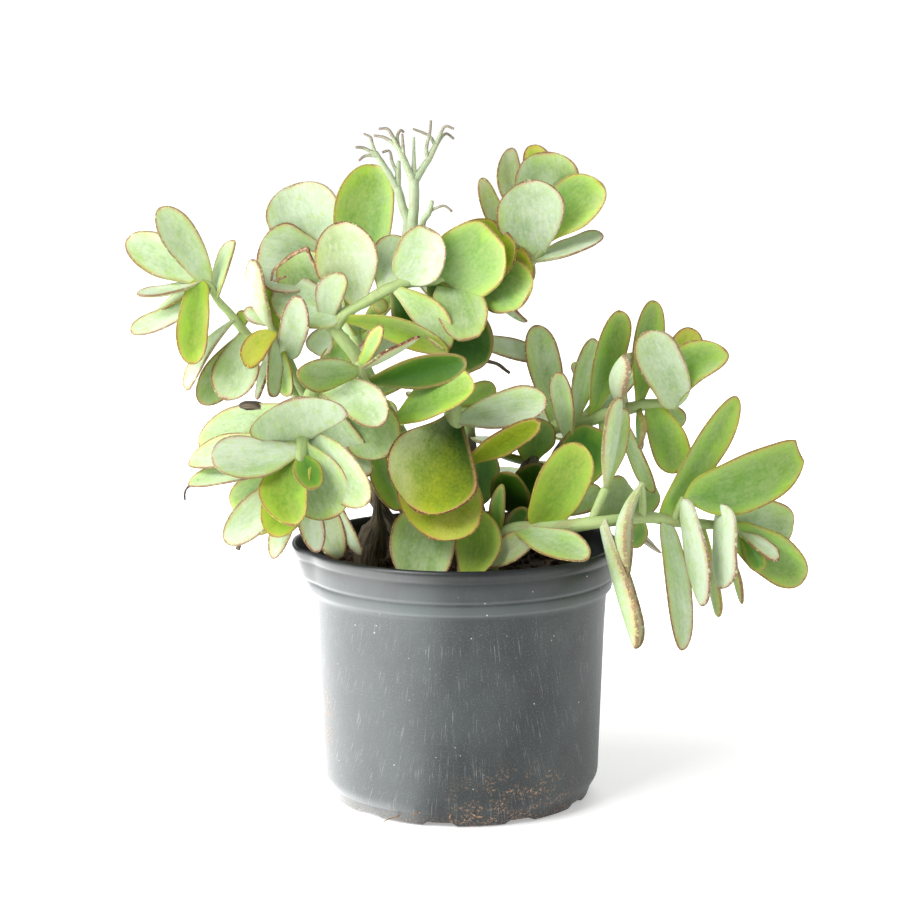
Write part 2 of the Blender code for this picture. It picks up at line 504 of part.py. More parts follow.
def back_shoot(name, stem, pairs):
    """One leafy shoot of the back: opposite pairs of leaves, each pair turned across the one below."""
    rows = smooth_path([list(p) for p in stem], 6)
    base = add_tube(name, rooted(rows[::6]), STEM_SIDES)
    steps = [(Vector(b[:3]) - Vector(a[:3])).length for a, b in zip(rows, rows[1:])]
    whole = sum(steps)
    pieces = []
    for i, (share, compass, rise, length, width) in enumerate(pairs):
        gone = 0.0
        spot = 0
        while spot < len(steps) - 1 and gone + steps[spot] < share * whole:
            gone += steps[spot]
            spot += 1
        part = (share * whole - gone) / steps[spot]
        root = Vector(rows[spot][:3]).lerp(Vector(rows[spot + 1][:3]), part)
        for side in (0, 1):
            turn, lift = math.radians(compass + 180 * side), math.radians(rise)
            out = Vector((math.cos(turn) * math.cos(lift), math.sin(turn) * math.cos(lift), math.sin(lift)))
            up = Vector((-math.cos(turn) * math.sin(lift), -math.sin(turn) * math.sin(lift), math.cos(lift)))
            start = root - out * (0.7 + 0.6 * side)
            pieces.append(add_leaf(f"{name}_leaf_{i}_{side}", start, root + out * length, width, up,
                                   BACK_ARCH, cup=0.2))
    unite(base, pieces)
    dress(base, "leaf")
    return rows[0]


def turned(name, profile, sides):
    """A closed solid of revolution from a closed profile of (radius, height)."""
    bm = bmesh.new()
    rings = []
    for radius, height in profile:
        if radius < 1e-6:
            rings.append([bm.verts.new((0.0, 0.0, height * MM))])
            continue
        rings.append([bm.verts.new((radius * MM * math.cos(2 * math.pi * k / sides),
                                    radius * MM * math.sin(2 * math.pi * k / sides), height * MM))
                      for k in range(sides)])
    for one, two in zip(rings, rings[1:]):
        for k in range(sides):
            n = (k + 1) % sides
            if len(one) == 1 and len(two) == 1:
                continue
            if len(one) == 1:
                bm.faces.new((one[0], two[k], two[n]))
            elif len(two) == 1:
                bm.faces.new((one[k], one[n], two[0]))
            else:
                bm.faces.new((one[k], one[n], two[n], two[k]))
    return finish(name, bm)


def outer_profile():
    """The pot's outside from the bottom's centre to the lip: heel, tapered wall, two bands, rolled lip."""
    r, h = RIM_RADIUS, POT_HEIGHT
    return [(0, 0), (FOOT_RADIUS - 0.6, 0), (FOOT_RADIUS + 2.6, 8.0), (FOOT_RADIUS + 5.7, 14.5),
            (r - 7.4, 127.0), (r - 4.2, 130.6), (r - 3.7, h - 21.4), (r - 1.9, h - 18.0), (r - 1.0, h - 7.8),
            (r - 0.2, h - 5.2), (r, h - 1.9), (r - 1.4, h)]


def inner_profile():
    """The pot's inside from the lip down to the centre of the floor."""
    r, h = RIM_RADIUS, POT_HEIGHT
    return [(r - 2.8, h - 0.5), (r - 4.2, h - 17.0), (r - 6.0, h - 20.2), (r - 6.6, 131.8),
            (r - 9.4, 127.2), (FOOT_RADIUS + 5.7 - WALL, 14.5), (FOOT_RADIUS - 1.0, FLOOR), (0, FLOOR)]


def make_pot():
    pot = turned("pot", outer_profile() + inner_profile(), POT_SIDES)
    # Drain notches through the heel, which let the water out under the pot's edge
    for k in range(DRAIN_NOTCHES):
        turn = math.radians(9.0 + 360.0 * k / DRAIN_NOTCHES)
        bpy.ops.mesh.primitive_cube_add(size=1.0)
        notch = bpy.context.object
        notch.name = f"drain_notch_{k}"
        notch.dimensions = (9.0 * MM, 16.0 * MM, 6.4 * MM)
        notch.location = ((FOOT_RADIUS - 1.0) * MM * math.cos(turn), (FOOT_RADIUS - 1.0) * MM * math.sin(turn), 0.0)
        notch.rotation_euler = (0.0, 0.0, turn)
        notch.hide_render = True
        notch.display_type = "WIRE"
        cut = pot.modifiers.new(f"Notch_{k}", "BOOLEAN")
        cut.operation = "DIFFERENCE"
        cut.object = notch
        cut.solver = "EXACT"
    dress(pot, "pot_plastic", 32.0)


def make_soil(feet):
    """The soil fills the pot, swells a little in the middle, and has a plain hole round every stem."""
    gap = SOIL_GAP
    wall = RIM_RADIUS - 9.4 - gap
    profile = [(0, FLOOR + gap), (FOOT_RADIUS - 1.6 - gap, FLOOR + gap),
               (FOOT_RADIUS + 5.5 - WALL - gap, 14.9), (wall, 127.0), (RIM_RADIUS - 6.9 - gap, 132.2),
               (RIM_RADIUS - 6.6 - gap, SOIL_LEVEL - 2.0), (45.0, SOIL_LEVEL + 0.3), (0, SOIL_LEVEL + 0.8)]
    soil = turned("soil", profile, POT_SIDES)
    for k, (x, y, z, radius) in enumerate(feet):
        bpy.ops.mesh.primitive_cylinder_add(vertices=10, radius=(radius + STEM_HOLE_GAP) * MM, depth=60 * MM)
        hole = bpy.context.object
        hole.name = f"stem_hole_{k}"
        hole.location = (x * MM, y * MM, (STEM_FOOT - 0.5 + 30.0) * MM)
        hole.hide_render = True
        hole.display_type = "WIRE"
        cut = soil.modifiers.new(f"Hole_{k}", "BOOLEAN")
        cut.operation = "DIFFERENCE"
        cut.object = hole
        cut.solver = "EXACT"
    dress(soil, "soil", 30.0)


def main():
    for obj in list(bpy.data.objects):
        bpy.data.objects.remove(obj)
    feet = []
    for name, (stems, leaves, stalks, thin) in FRONT_SHOOTS.items():
        feet.append(front_shoot(name, stems, leaves, stalks, thin))
    for name, (stem, pairs) in BACK_SHOOTS.items():
        feet.append(back_shoot(name, stem, pairs))
    make_pot()
    make_soil(feet)


main()
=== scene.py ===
"""Looks of the potted kalanchoe: fleshy leaves, woody stems, dry flower stalks, soil and nursery pot."""
import math

import bpy
import numpy as np
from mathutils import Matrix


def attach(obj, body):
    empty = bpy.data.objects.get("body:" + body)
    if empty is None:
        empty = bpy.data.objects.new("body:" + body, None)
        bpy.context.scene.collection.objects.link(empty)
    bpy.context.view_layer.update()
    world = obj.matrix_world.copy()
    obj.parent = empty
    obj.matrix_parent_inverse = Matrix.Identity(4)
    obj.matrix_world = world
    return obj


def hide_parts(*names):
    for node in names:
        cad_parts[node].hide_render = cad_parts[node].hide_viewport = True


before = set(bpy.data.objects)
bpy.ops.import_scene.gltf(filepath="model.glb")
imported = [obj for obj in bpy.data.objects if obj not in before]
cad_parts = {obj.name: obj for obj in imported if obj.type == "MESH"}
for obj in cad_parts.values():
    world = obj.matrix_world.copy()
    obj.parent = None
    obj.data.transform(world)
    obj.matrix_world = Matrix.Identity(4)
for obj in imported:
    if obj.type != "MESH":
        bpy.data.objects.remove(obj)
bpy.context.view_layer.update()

bl_info = {
    "name": "Potted Kalanchoe",
    "version": (1, 0, 0),
    "blender": (4, 5, 0),
    "location": "3D View > Sidebar > Kalanchoe",
    "description": "Builds the leaves, stems, soil and pot of a potted kalanchoe over its packed frame",
    "category": "Add Mesh",
}

MM = 0.001

# Pot and soil sizes in millimetres. The soil's level, the stems' foot and the notches are as in the model.
SOIL_LEVEL = 140.0
CRUST_RADIUS = 91.0
CRUST_RINGS = 60
CRUST_COLUMNS = 150
CRUST_WAVES = 40
CRUMB_REACH = 86.5
CRUMB_RINGS = (-0.85, -0.35, 0.35, 0.85)
CRUMB_SIDES = 7
STEM_FOOT = 118.0
POT_COLUMNS = 240
DRAIN_NOTCHES = 10
NOTCH_FIRST_DEGREES = 9.0
NOTCH_HALF_WIDTH = 9.2
NOTCH_HEIGHT = 3.2
RIM_PULL = 6.0

# Leaf form: shares of the length and the width, then the rings and their points, then the least half
# width and half thickness of a ring, in millimetres, which keep the ends of a blade from closing to a line
LEAF_WIDEST = 0.6
LEAF_NECK = 0.24
LEAF_FORM = ("arch", "blunt", "bow", "neck", "cup")
LEAF_CUP = 0.24
LEAF_ROWS = 34
LEAF_COLUMNS = 36
LEAST_HALF_WIDTH = 0.12
LEAST_HALF_THICKNESS = 0.05

# Points round a stem or stalk, points round a thin twig, and rows to a stretch of a path
STEM_SIDES = 18
STALK_SIDES = 14
TWIG_SIDES = 8
DRY_BIT_SIDES = 7
STEM_STEPS = 8
TWIG_STEPS = 6

# Seeds of the random draws. Each shoot, stalk, curl and dry bit adds its own number to one of these.
SOIL_SEED = 7
FRONT_SEED = 11
BACK_SEED = 41
STALK_SEED = 70
CURL_SEED = 90
DRY_BIT_SEED = 120

# The heights between which a shoot's bark gives way to green
BARK = (185.0, 240.0)
LOW_BARK = {
    "shoot_right_low": (90.0, 110.0),
    "shoot_front": (90.0, 110.0),
}

# The share of the model's thickness at which some shoots' stems are drawn, as the photograph shows them
SLIM = {
    "shoot_left_high": 0.76,
    "shoot_crown": 0.86,
    "shoot_right_low": 0.88,
}

# How the drawn flower stalks differ from the model's: the same x, y and z, and a thicker radius
STALK_SWELL = (1.0, 1.0, 1.0, 1.28)

# The camera fitted to the photograph: its place in millimetres, its tilt from straight down in degrees,
# and its focus in pixels of the photograph's 900 pixel frame
EYE = np.array([-6.3, -1500.0, 457.0])
CAMERA_TILT = 80.8
CAMERA_FOCUS = 2484.0
PHOTO_PIXELS = 900.0
SENSOR_MM = 36.0

# The studio's area lights: name, place and aim in metres, size in metres, power in watts
LIGHTS = [
    ("key", (-1.2, -1.2, 1.5), (0.0, 0.0, 0.22), 1.0, 37.0),
    ("left_panel", (-1.1, -0.35, 0.45), (0.0, 0.0, 0.12), 0.9, 12.0),
    ("fill", (1.5, -1.3, 0.9), (0.0, 0.0, 0.2), 1.4, 5.0),
    ("back", (0.4, 1.5, 1.3), (0.0, 0.0, 0.25), 1.3, 17.0),
]
FLOOR_REACH = 6.0
FLOOR_DROP = 0.0004

# How the floor glows near the pot, how bright the pool is that the pot reflects, how much of its glow the
# floor keeps back from the plant, and the world's strength as light and, on top, as seen by the camera
FLOOR_GLOW_NEAR = 0.34
POOL_GLOW = 5.4
FLOOR_DIMMING = 0.35
WORLD_LIGHT = 0.34
WORLD_SHOWN = 0.71

# What a leaf's surface is like: waxy bloom, yellowing, darkness, and how strong its corky margin is. The
# darkness is painted shade: it deepens the green of leaves that lie in the shade of others
TONES = {
    "pale": (0.90, 0.10, 0.0, 0.75),
    "mint": (0.64, 0.14, 0.0, 0.75),
    "mid": (0.38, 0.16, 0.05, 0.70),
    "green": (0.12, 0.12, 0.02, 0.65),
    # deep and dark carry the most painted shade, for leaves that lie deep in shadow
    "deep": (0.02, 0.0, 0.42, 0.55),
    "dark": (0.0, 0.0, 0.80, 0.50),
    "lime": (0.04, 0.26, 0.0, 0.60),
    "butter": (0.55, 0.60, 0.0, 0.70),
    "gold": (0.08, 0.78, 0.0, 0.80),
    "olive": (0.0, 0.42, 0.52, 0.80),
    "cream": (0.75, 0.45, 0.0, 1.0),
    "old": (0.16, 0.62, 0.34, 1.0),
    "dry": (0.25, 0.80, 0.10, 0.35),
}

# The plant was laid out from the front, from the camera's place 1.5 m away. A stem point or a leaf tip is
# written as (x, z, depth): x and z are read on the upright plane through the pot's axis, and the point is
# then slid along the line of sight until it is at that depth, where a minus sign is nearer.
#
# All rows are in millimetres. Stems: points of (x, z, depth, radius). Leaves: tone, joint x and z, tip x, z
# and depth, width, the way the upper face looks. Then come, where they differ from a straight, pointed
# leaf: how far it arches as a share of its length, 1 where the blade is round, how far it bows sideways as
# a share of its length, the neck's share of the width, and how far its sides fold up.
LEFT_HIGH_STEMS = [
    [(-30, 147, 20, 6), (-50, 180, 22, 5.5), (-80, 222, 20, 5), (-108, 258, 14, 4.5), (-129, 284, 8, 4),
     (-139, 297, 4, 3.5), (-147, 306, 2, 3), (-152, 315, 0, 3), (-158, 319, -2, 2.5)],
    [(-80, 222, 20, 4), (-96, 250, 14, 4), (-106, 273, 8, 3.5), (-113, 286, 2, 3), (-117, 293, 0, 2.5)],
]
LEFT_HIGH_LEAVES = [
    ("mint", -150, 317, -181.5, 362, -10, 23, (0.35, -1, 0.2), 0, 0, 0.01, 0.45),
    ("mint", -158, 316, -201, 343.5, 10, 27, (0, -1, 0.6), 0, 0, 0, 0.4),
    ("pale", -158, 315, -196, 309, -15, 18, (0, -0.2, 1), -0.06),
    ("mint", -157, 312, -184, 299, 12, 16, (-0.5, -0.3, 1)),
    ("pale", -154, 311.5, -200, 286, -8, 22, (-0.3, -0.6, 1), -0.07),
    ("lime", -157, 319.5, -163.5, 266.5, -26, 19.5, (0.1, -1, 0.3), 0, 0, 0.01, 0.65),
    ("mint", -148.5, 306.5, -136.5, 342.5, 8, 22, (-0.9, -0.5, 0.3), 0.02),
    ("pale", -138.5, 292.5, -166.5, 250.5, -22, 18, (-0.8, -0.6, 0.4), 0.07),
    ("mid", -133.5, 285, -158.5, 242.5, -4, 24, (0.6, -0.8, 0.2)),
    ("mint", -132, 283.5, -143, 244.5, -24, 28, (0, -1, 0.15), 0, 0, -0.02),
    ("green", -131, 288, -132.5, 300, 10, 8, (0.3, -1, 0)),
    ("pale", -115, 286.5, -125.5, 331, -14, 16, (0.6, 0.8, 0), -0.12),
    ("lime", -111, 285.5, -121.5, 329.5, 6, 15, (0.5, -1, 0), 0, 0, 0.09),
    ("gold", -115.5, 286, -129.5, 264.5, -28, 16.5, (0, -1, 0.5), 0, 0, 0.07, 0.6),
    ("pale", -117.5, 289, -131, 300.5, 2, 9, (0, -1, 0.3)),
    ("pale", -113, 285, -116, 247, -27, 18, (0.9, -0.6, 0)),
    ("pale", -112, 283, -124, 245, -2, 12, (-0.9, -0.5, 0)),
    ("green", -108, 278, -104, 247, -4, 18, (-0.8, -0.7, 0)),
    ("pale", -102.5, 270.5, -98, 309, -24, 18, (0, -1, 0), 0, 0, 0, 0.7),
]

CROWN_STEMS = [
    [(-12, 147, 15, 7), (-25, 180, 14, 6.5), (-40, 220, 10, 6), (-52, 250, 5, 5.5), (-62, 270, 0, 5),
     (-74, 285, 0, 4.5), (-80, 293, 2, 4), (-84, 303, 6, 3.5), (-86, 315, 10, 3), (-84, 325, 12, 3)],
    [(-76, 288, 1, 4), (-70, 298, -4, 4), (-56, 306, -8, 4), (-43, 313, -10, 4), (-30, 317, -6, 4),
     (-12, 318, 0, 4), (8, 321, 6, 4), (28, 325, 8, 4), (42, 329, 6, 3.5), (50, 339, 6, 3),
     (54, 352, 8, 3)],
]
CROWN_LEAVES = [
    ("pale", -84, 326, -100.5, 376, 20, 46, (0.1, -1, 0.2)),
    ("mint", -81, 324.5, -123, 333.5, 4, 44, (0, -1, 0.35), 0, 0, 0, 0.6),
    ("mid", -86, 304, -102, 335, -2, 34, (0, -1, -0.2)),
    ("cream", -62, 303, -74, 353.5, -16, 39, (0, -1, 0.2)),
    ("mint", -76, 297, -114, 310.5, 2, 30, (0, -1, 0.3), 0, 0, 0.02, 0.6),
    ("pale", -81.5, 291.5, -72, 323, -22, 18, (0, -1, 0.1), 0, 0, -0.07, 0.5),
    ("mint", -48.5, 311, -36, 345, 6, 26, (0, -1, 0.2), 0, 0, -0.02),
    ("green", -62, 303, -53.5, 388, 26, 36.5, (0, -1, 0.1)),
    ("dry", -54, 307, -44.5, 300, -4, 10, (0, -1, 0.2)),
    ("dark", -42, 313, -22, 285, -2, 24, (0, -1, 0.1)),
    ("pale", -79, 291, -89, 273.5, 8, 17, (0, -1, 0.2)),
    ("green", -73, 284, -76, 262, 14, 20, (0, -1, 0.1)),
    ("pale", -31.5, 310.5, -18, 349.5, -20, 31, (0, -1, 0.1), 0, 1, 0.08),
    ("mid", -40, 311, -6, 276.5, -26, 20, (-0.4, -0.6, 0.5), 0, 0, -0.07),
    ("mid", -8.5, 324, 5.5, 281.5, -30, 31, (0.1, -1, 0.1), 0, 1, -0.02),
    ("green", -12.5, 317.5, 21, 347, -22, 45, (0.1, -1, 0.15), 0, 1, 0.04),
    ("olive", -3, 318, 27, 349, -10, 42, (0.1, -1, 0.15), 0, 1),
    ("green", 12.5, 324.5, 41.5, 307.5, -16, 36, (0.1, -1, 0.1), 0, 1, -0.04),
    ("gold", 18, 328, 44, 317, -4, 34, (0.1, -1, 0.1)),
    ("deep", 24, 330, 44, 331, 12, 26, (0.1, -1, 0.1)),
    ("dark", -16, 318, 12, 264, -12, 37, (0, -1, 0.1)),
    ("pale", 16.5, 322, 40, 292.5, 12, 20, (0.9, 0.3, 0.5), -0.13),
    ("mint", 46, 335, 39.5, 378.5, -22, 42, (0, -1, 0.2), 0, 0, -0.05),
    ("mid", 52, 347, 50, 395.5, 4, 40, (0.1, -1, 0.3)),
    ("green", 52.5, 343, 85.5, 376.5, -6, 32, (-0.3, -1, 0.2), 0, 0, -0.07),
    ("mint", 44, 329.5, 86.5, 345, 6, 24, (-0.2, -0.35, 0.9), -0.03, 0, 0, 0.5),
    ("butter", 52, 348, 29, 397.5, 16, 20, (0.6, -0.8, 0), 0, 0, -0.22),
    ("gold", 53, 352, 43, 399.5, 26, 20, (0, -1, 0.4)),
    ("butter", 40, 334, 12, 379.5, 10, 18, (0.7, -0.7, 0.1), 0, 0, -0.12),
    ("lime", -72.5, 296, -6.5, 276, -28, 24, (0.1, -0.8, -0.6), -0.07),
]

CENTRE_STEMS = [
    [(-4, 146, -14, 6), (-16, 180, -10, 5.5), (-32, 215, -8, 5), (-45, 238, -8, 4.5), (-54, 252, -12, 4),
     (-60, 262, -20, 3.5), (-61, 268, -22, 3)],
]
CENTRE_LEAVES = [
    ("dark", -55, 257, 3.3, 270.5, -56, 26, (0, -0.9, -0.5)),
    ("green", -57.5, 265.5, -47, 290.5, -38, 11, (-0.6, -0.8, 0), 0, 0, 0, 0.5),
    ("cream", -59, 264.5, -25, 284, -50, 15, (-0.2, 0.1, 1), -0.02),
    ("mid", -60, 263, -99.5, 262.5, -46, 24, (0, -0.9, -0.3)),
    ("green", -40, 232.5, 9, 252.5, -64, 34, (0, -0.9, 0.6), 0, 0, -0.05),
]

MIDDLE_STEMS = [
    [(14, 146, 2, 7), (9, 175, -10, 6.5), (2, 205, -14, 6), (-4, 232, -12, 5.5), (-6, 258, -4, 5),
     (-6, 285, 6, 4.5), (-2, 305, 14, 4)],
]
MIDDLE_LEAVES = [
    ("mint", -4, 233, 53.5, 243, -34, 29, (0, -0.8, 0.7)),
    ("green", -5, 242, 21.5, 253, 6, 15, (0, -1, 0.2)),
    ("olive", 2, 206, 48, 233, -46, 19, (0.3, -0.9, -0.2)),
    ("old", -5, 233, -26, 175, -74, 57, (0.05, -1, 0.15), 0, 0, 0.02),
    ("gold", 4.5, 209.5, -18.5, 158.5, -72, 54, (0, -1, 0.15), 0, 0, 0.04),
    ("pale", -6, 284, 52, 270, 26, 17, (0, -0.7, 0.7)),
    ("deep", 11, 180.5, 16.5, 213, 22, 21, (0.1, -1, 0.1), 0, 1),
]

FRONT_STEMS = [
    [(2, 144, -34, 4), (-2, 165, -31, 4), (-6, 186, -30, 3.5)],
]
FRONT_LEAVES = [
    ("mid", -6, 184, -29, 128, -72, 40, (0, -1, 0.1), 0, 0, 0.06),
    ("lime", -5.5, 185.5, 5.5, 132, -60, 30, (0.2, -1, 0.1), 0, 0, -0.2),
]

LEFT_LOW_STEMS = [
    [(-56, 147, 0, 10), (-53.5, 160, 0, 9.5), (-51.5, 167, 0, 6.5), (-51, 175, 0, 3), (-52, 192, -2, 2.8),
     (-58, 225, -3, 3.2), (-71, 247, -4, 4), (-82, 256, -8, 4.5), (-90, 250, -20, 4.5),
     (-94, 236, -36, 4.2), (-97, 219, -58, 4), (-98, 209, -68, 3.5), (-99, 200, -74, 3)],
]
LEFT_LOW_LEAVES = [
    ("mint", -85, 256, -47, 229.5, -62, 26, (0.2, -1, 0.3), 0, 0, -0.06, 0.6),
    ("mid", -72, 248, -43, 211, -44, 36, (0, -1, 0.2)),
    ("pale", -97, 220, -102, 246.5, -78, 58, (0, -0.9, 0.45)),
    ("mid", -89, 240, -160, 216, -28, 34, (0, -0.8, 0.6)),
    ("mint", -97, 214, -166.5, 206, -52, 27, (0, -0.6, 0.8), 0.07, 0, 0, 0.5),
    ("pale", -98, 213, -152, 206, -88, 32, (0, -0.75, 0.7)),
    ("mint", -98, 205, -167, 193, -62, 22, (0, -0.5, 1)),
    ("green", -99, 203, -141, 180, -54, 22, (0, -0.9, 0.4)),
    ("pale", -99, 204, -144.5, 156, -84, 22, (0.4, -0.8, 0.5)),
    ("lime", -99, 208.5, -104, 166.5, -104, 29, (0, -1, 0.5), 0, 0, 0.13, 0.7),
    ("deep", -98, 212, -90, 189, -88, 18, (0.3, -1, 0.2)),
    ("mid", -96, 218, -77.5, 171.5, -78, 36, (0, -1, 0.3)),
    ("mint", -94, 228, -56, 181, -84, 28, (-0.35, -0.9, 0)),
    ("mint", -86, 248, -56, 197.5, -40, 24, (0.2, -1, 0.1), 0, 0, 0.03),
    ("pale", -98, 206, -88, 150, -76, 16, (0.3, -1, 0)),
    ("butter", -97, 212, -74, 146, -48, 20, (0.1, -1, 0)),
    ("pale", -95, 217, -60.5, 148, -50, 14, (-0.6, -0.8, 0)),
    ("pale", -99, 202, -115.5, 146, -84, 14, (-0.2, -1, 0)),
    ("lime", -99, 200, -116, 160, -92, 26, (0.1, -1, 0.2)),
    ("lime", -99, 200, -132, 163, -70, 24, (0.2, -1, 0.2)),
    ("green", -66, 220, -37.5, 176, -22, 17, (0.2, -1, 0.2)),
]

RIGHT_HIGH_STEMS = [
    [(30, 147, 10, 6), (34, 175, 14, 5.5), (42, 205, 18, 5), (54, 226, 18, 4.5), (69, 230, 14, 4.5),
     (83, 234, 10, 4), (97, 238, 8, 4), (112, 242, 6, 3.5), (122, 242.5, 6, 3), (133, 241.5, 5, 2.5)],
]
RIGHT_HIGH_LEAVES = [
    ("mid", 58, 228, 45.5, 291, 14, 21.5, (0.1, -1, 0)),
    ("mint", 68, 231, 81, 283, 18, 16, (0.2, -1, 0)),
    ("green", 78, 239, 96.5, 300, -6, 24, (0.5, -0.85, 0), 0, 0, 0.01),
    ("pale", 101, 239.5, 100, 272.5, -22, 21, (1, -0.25, 0), -0.17, 0, 0, 0.24, 1),
    ("dark", 108, 247.5, 109.5, 215, -14, 13, (1, 0.1, 0), 0, 0, 0, 0.24, 0.6),
    ("green", 108, 241, 117, 306, 20, 22, (0.4, -0.9, 0)),
    ("mint", 133, 242.5, 111, 286.5, -20, 28, (0.1, -1, 0.1), 0, 0, 0.02, 0.7),
    ("green", 127, 256.5, 161.5, 276, 2, 26, (-0.1, -1, 0.2), 0, 0, -0.18, 0.5),
    ("gold", 126, 249, 141, 289, 18, 22, (0.1, -1, 0.1)),
    ("green", 116.5, 239.5, 134, 200, -4, 24, (0.1, -1, 0), 0, 0, 0, 0.5),
    ("mint", 119, 245, 137, 230.5, 16, 13, (0, -1, 0)),
    ("mid", 98, 238, 119.6, 187.5, -6, 18, (-0.8, -0.5, -0.2)),
    ("mid", 84, 234, 96, 221, 10, 14, (0, -1, 0)),
    ("dark", 35, 178, 52, 205, 4, 28, (0, -1, 0)),
    ("green", 42, 204, 47, 234, 4, 26, (0.2, -1, 0)),
    ("dark", 41, 174, 30, 200.5, -28, 26, (-0.2, -1, 0.3), 0, 1),
]

RIGHT_LOW_STEMS = [
    [(18, 146, -25, 6.5), (29, 162, -29, 6), (45, 165, -31, 5.5), (62, 166, -35, 5),
     (80, 168.5, -47, 4.5), (97, 170.5, -46, 4), (117, 172, -34, 4), (133, 169.5, -28, 4),
     (149, 168, -24, 3.5), (165, 166, -22, 3), (174, 160, -22, 2.5)],
    [(158, 167, -23, 2.5), (160, 175, -27, 2.3), (161, 180, -32, 2)],
    [(131, 170, -29, 2.8), (135, 180, -32, 2.4), (137, 184, -35, 2)],
    [(112, 172, -38, 2.6), (112, 184, -40, 2.4), (111, 194, -44, 2)],
    [(80, 168.5, -46, 3), (84, 178, -45, 3), (89, 190, -41, 3)],
    [(56, 166, -33, 3.5), (63, 182, -12, 3), (66, 200, 0, 2.8), (67, 216, 0, 2.5)],
]
RIGHT_LOW_LEAVES = [
    ("butter", 51, 152.5, 16, 141.5, -46, 19, (0, -0.7, 0.7)),
    ("mid", 35, 166, 78.5, 145.5, -86, 25, (0.1, -0.75, 0.65), 0, 0, -0.02, 0.3),
    ("lime", 46.5, 164, 73, 218.5, -44, 32, (0.2, -1, 0.1), 0, 0, 0.02, 0.55),
    ("deep", 24, 155, 25.5, 193, -34, 10, (0, -1, 0.1), 0, 0, -0.05),
    ("mid", 67, 216, 61, 262.5, -8, 20, (-0.75, -0.7, 0)),
    ("deep", 64, 184, 83, 228, 0, 32, (0.1, -1, 0.1)),
    ("mid", 63, 172, 87, 189, -8, 17, (0, -1, 0.3)),
    ("green", 97, 171, 121, 189, 18, 18, (0, -1, 0.1)),
    ("mid", 84, 169, 103, 193, 10, 24, (0, -1, 0.1)),
    ("dark", 26, 158, 41, 178, -20, 12, (0, -1, 0.2)),
    ("green", 123, 170.5, 169, 247, 0, 21, (0.4, -0.9, 0.3), 0, 0, 0.02, 0.55),
    ("green", 146.5, 183, 207.5, 213.5, -4, 34, (0, -1, 0.2), 0, 1, 0.08, 0.8),
    ("mid", 160, 167, 205, 168, 10, 34, (0, -1, 0.1)),
    ("green", 166.5, 168, 212.5, 132.5, -22, 29, (0.2, -1, 0.3), 0, 0, 0, 0.5),
    ("mint", 171, 166, 196, 144.5, -40, 13, (0, -0.5, 0.9), 0, 0, -0.06),
    ("deep", 173, 161, 186, 138, -36, 13, (0, -1, 0.2)),
    ("pale", 160.5, 181, 161.5, 127, -44, 22, (0.75, 0.6, 0), 0, 0, 0, 0.8),
    ("pale", 137, 183.5, 150, 116, -52, 21, (0.75, 0.6, 0), 0, 0, 0, 0.65),
    ("mint", 124.5, 167, 137.5, 88, -58, 19, (0.5, -0.85, 0), 0, 0, -0.03, 0.7),
    ("pale", 86.5, 166, 108.5, 89, -86, 20, (1, -0.3, 0), -0.01, 0, 0, 0.4, 0.95),
    ("pale", 111.5, 193.5, 101, 133.5, -70, 17, (1, -0.3, 0), -0.15, 0, 0, 0.24, 0.95),
    ("deep", 111, 173, 106, 153, -30, 14, (0.3, -1, 0)),
    ("dark", 98, 170, 122, 151, 18, 16, (0, -0.7, 0.7)),
    ("green", 150, 168, 159, 109.5, 8, 14, (0.9, 0.5, 0)),
    ("green", 162, 166, 174, 117.5, 4, 10, (0.9, 0.5, 0)),
    ("mint", 89, 190, 97, 247, -42, 18, (-0.75, 0.6, 0)),
    ("mid", 89, 190, 100, 240, -28, 16, (0.6, -0.8, 0)),
]

# Dry twigs and a withered stub that hang on two of the shoots
MIDDLE_TWIGS = [
    [(-6, 262, -3, 1.8), (6, 268, 2, 1.5), (20, 268, 6, 1.2), (30, 261.5, 8, 1)],
]
LEFT_LOW_TWIGS = [
    [(-99, 201, -73, 2.2), (-118, 180, -62, 2), (-133, 162, -58, 1.8), (-137, 152, -57, 1.4)],
    [(-160, 194.5, -62.5, 1.6), (-167, 191, -62, 0.8), (-169, 187, -61, 0.7), (-169, 183, -61, 0.6)],
    [(-116, 238, -25, 2.2), (-123, 240, -24, 3.8), (-130, 241, -23, 3.6), (-135, 240, -23, 1.8)],
]

# Dry flower stalks of the crown, then the curled ends of their forks
FLOWER_STALKS = [
    [(-30, 317, -6, 3.2), (-30, 335, -2, 2.8), (-29, 350, 0, 2.6), (-28, 366, 0, 2.5),
     (-28, 379, 0, 2.4)],
    [(-28, 377, 0, 2), (-31.5, 385, -1, 1.7), (-34, 391, -2, 1.5), (-37, 398, -3, 1.3)],
    [(-28, 377, 0, 1.6), (-28, 392, 1, 0.9), (-28, 404, 2, 0.6)],
    [(-28, 377, 0, 2), (-22.5, 386, 2, 1.7), (-19, 391, 3, 1.5), (-14.5, 400, 4, 1.3)],
    [(-34, 316, -5, 2.6), (-34, 335, 2, 2.4), (-32, 352, 4, 2.2), (-35, 363, 5, 2.1), (-38, 374, 6, 2)],
    [(-38, 373, 6, 1.8), (-43, 382, 5, 1.6), (-48, 390, 4, 1.4), (-51, 395, 3, 1.2)],
    [(-38, 373, 6, 1.6), (-37.5, 382, 7, 1.4), (-37, 390, 8, 0.8)],
    [(-24, 318, -3, 2), (-23, 335, -2, 1.8), (-23, 352, -4, 1.6), (-19, 359, -6, 1.4), (-17, 366, -7, 1)],
]
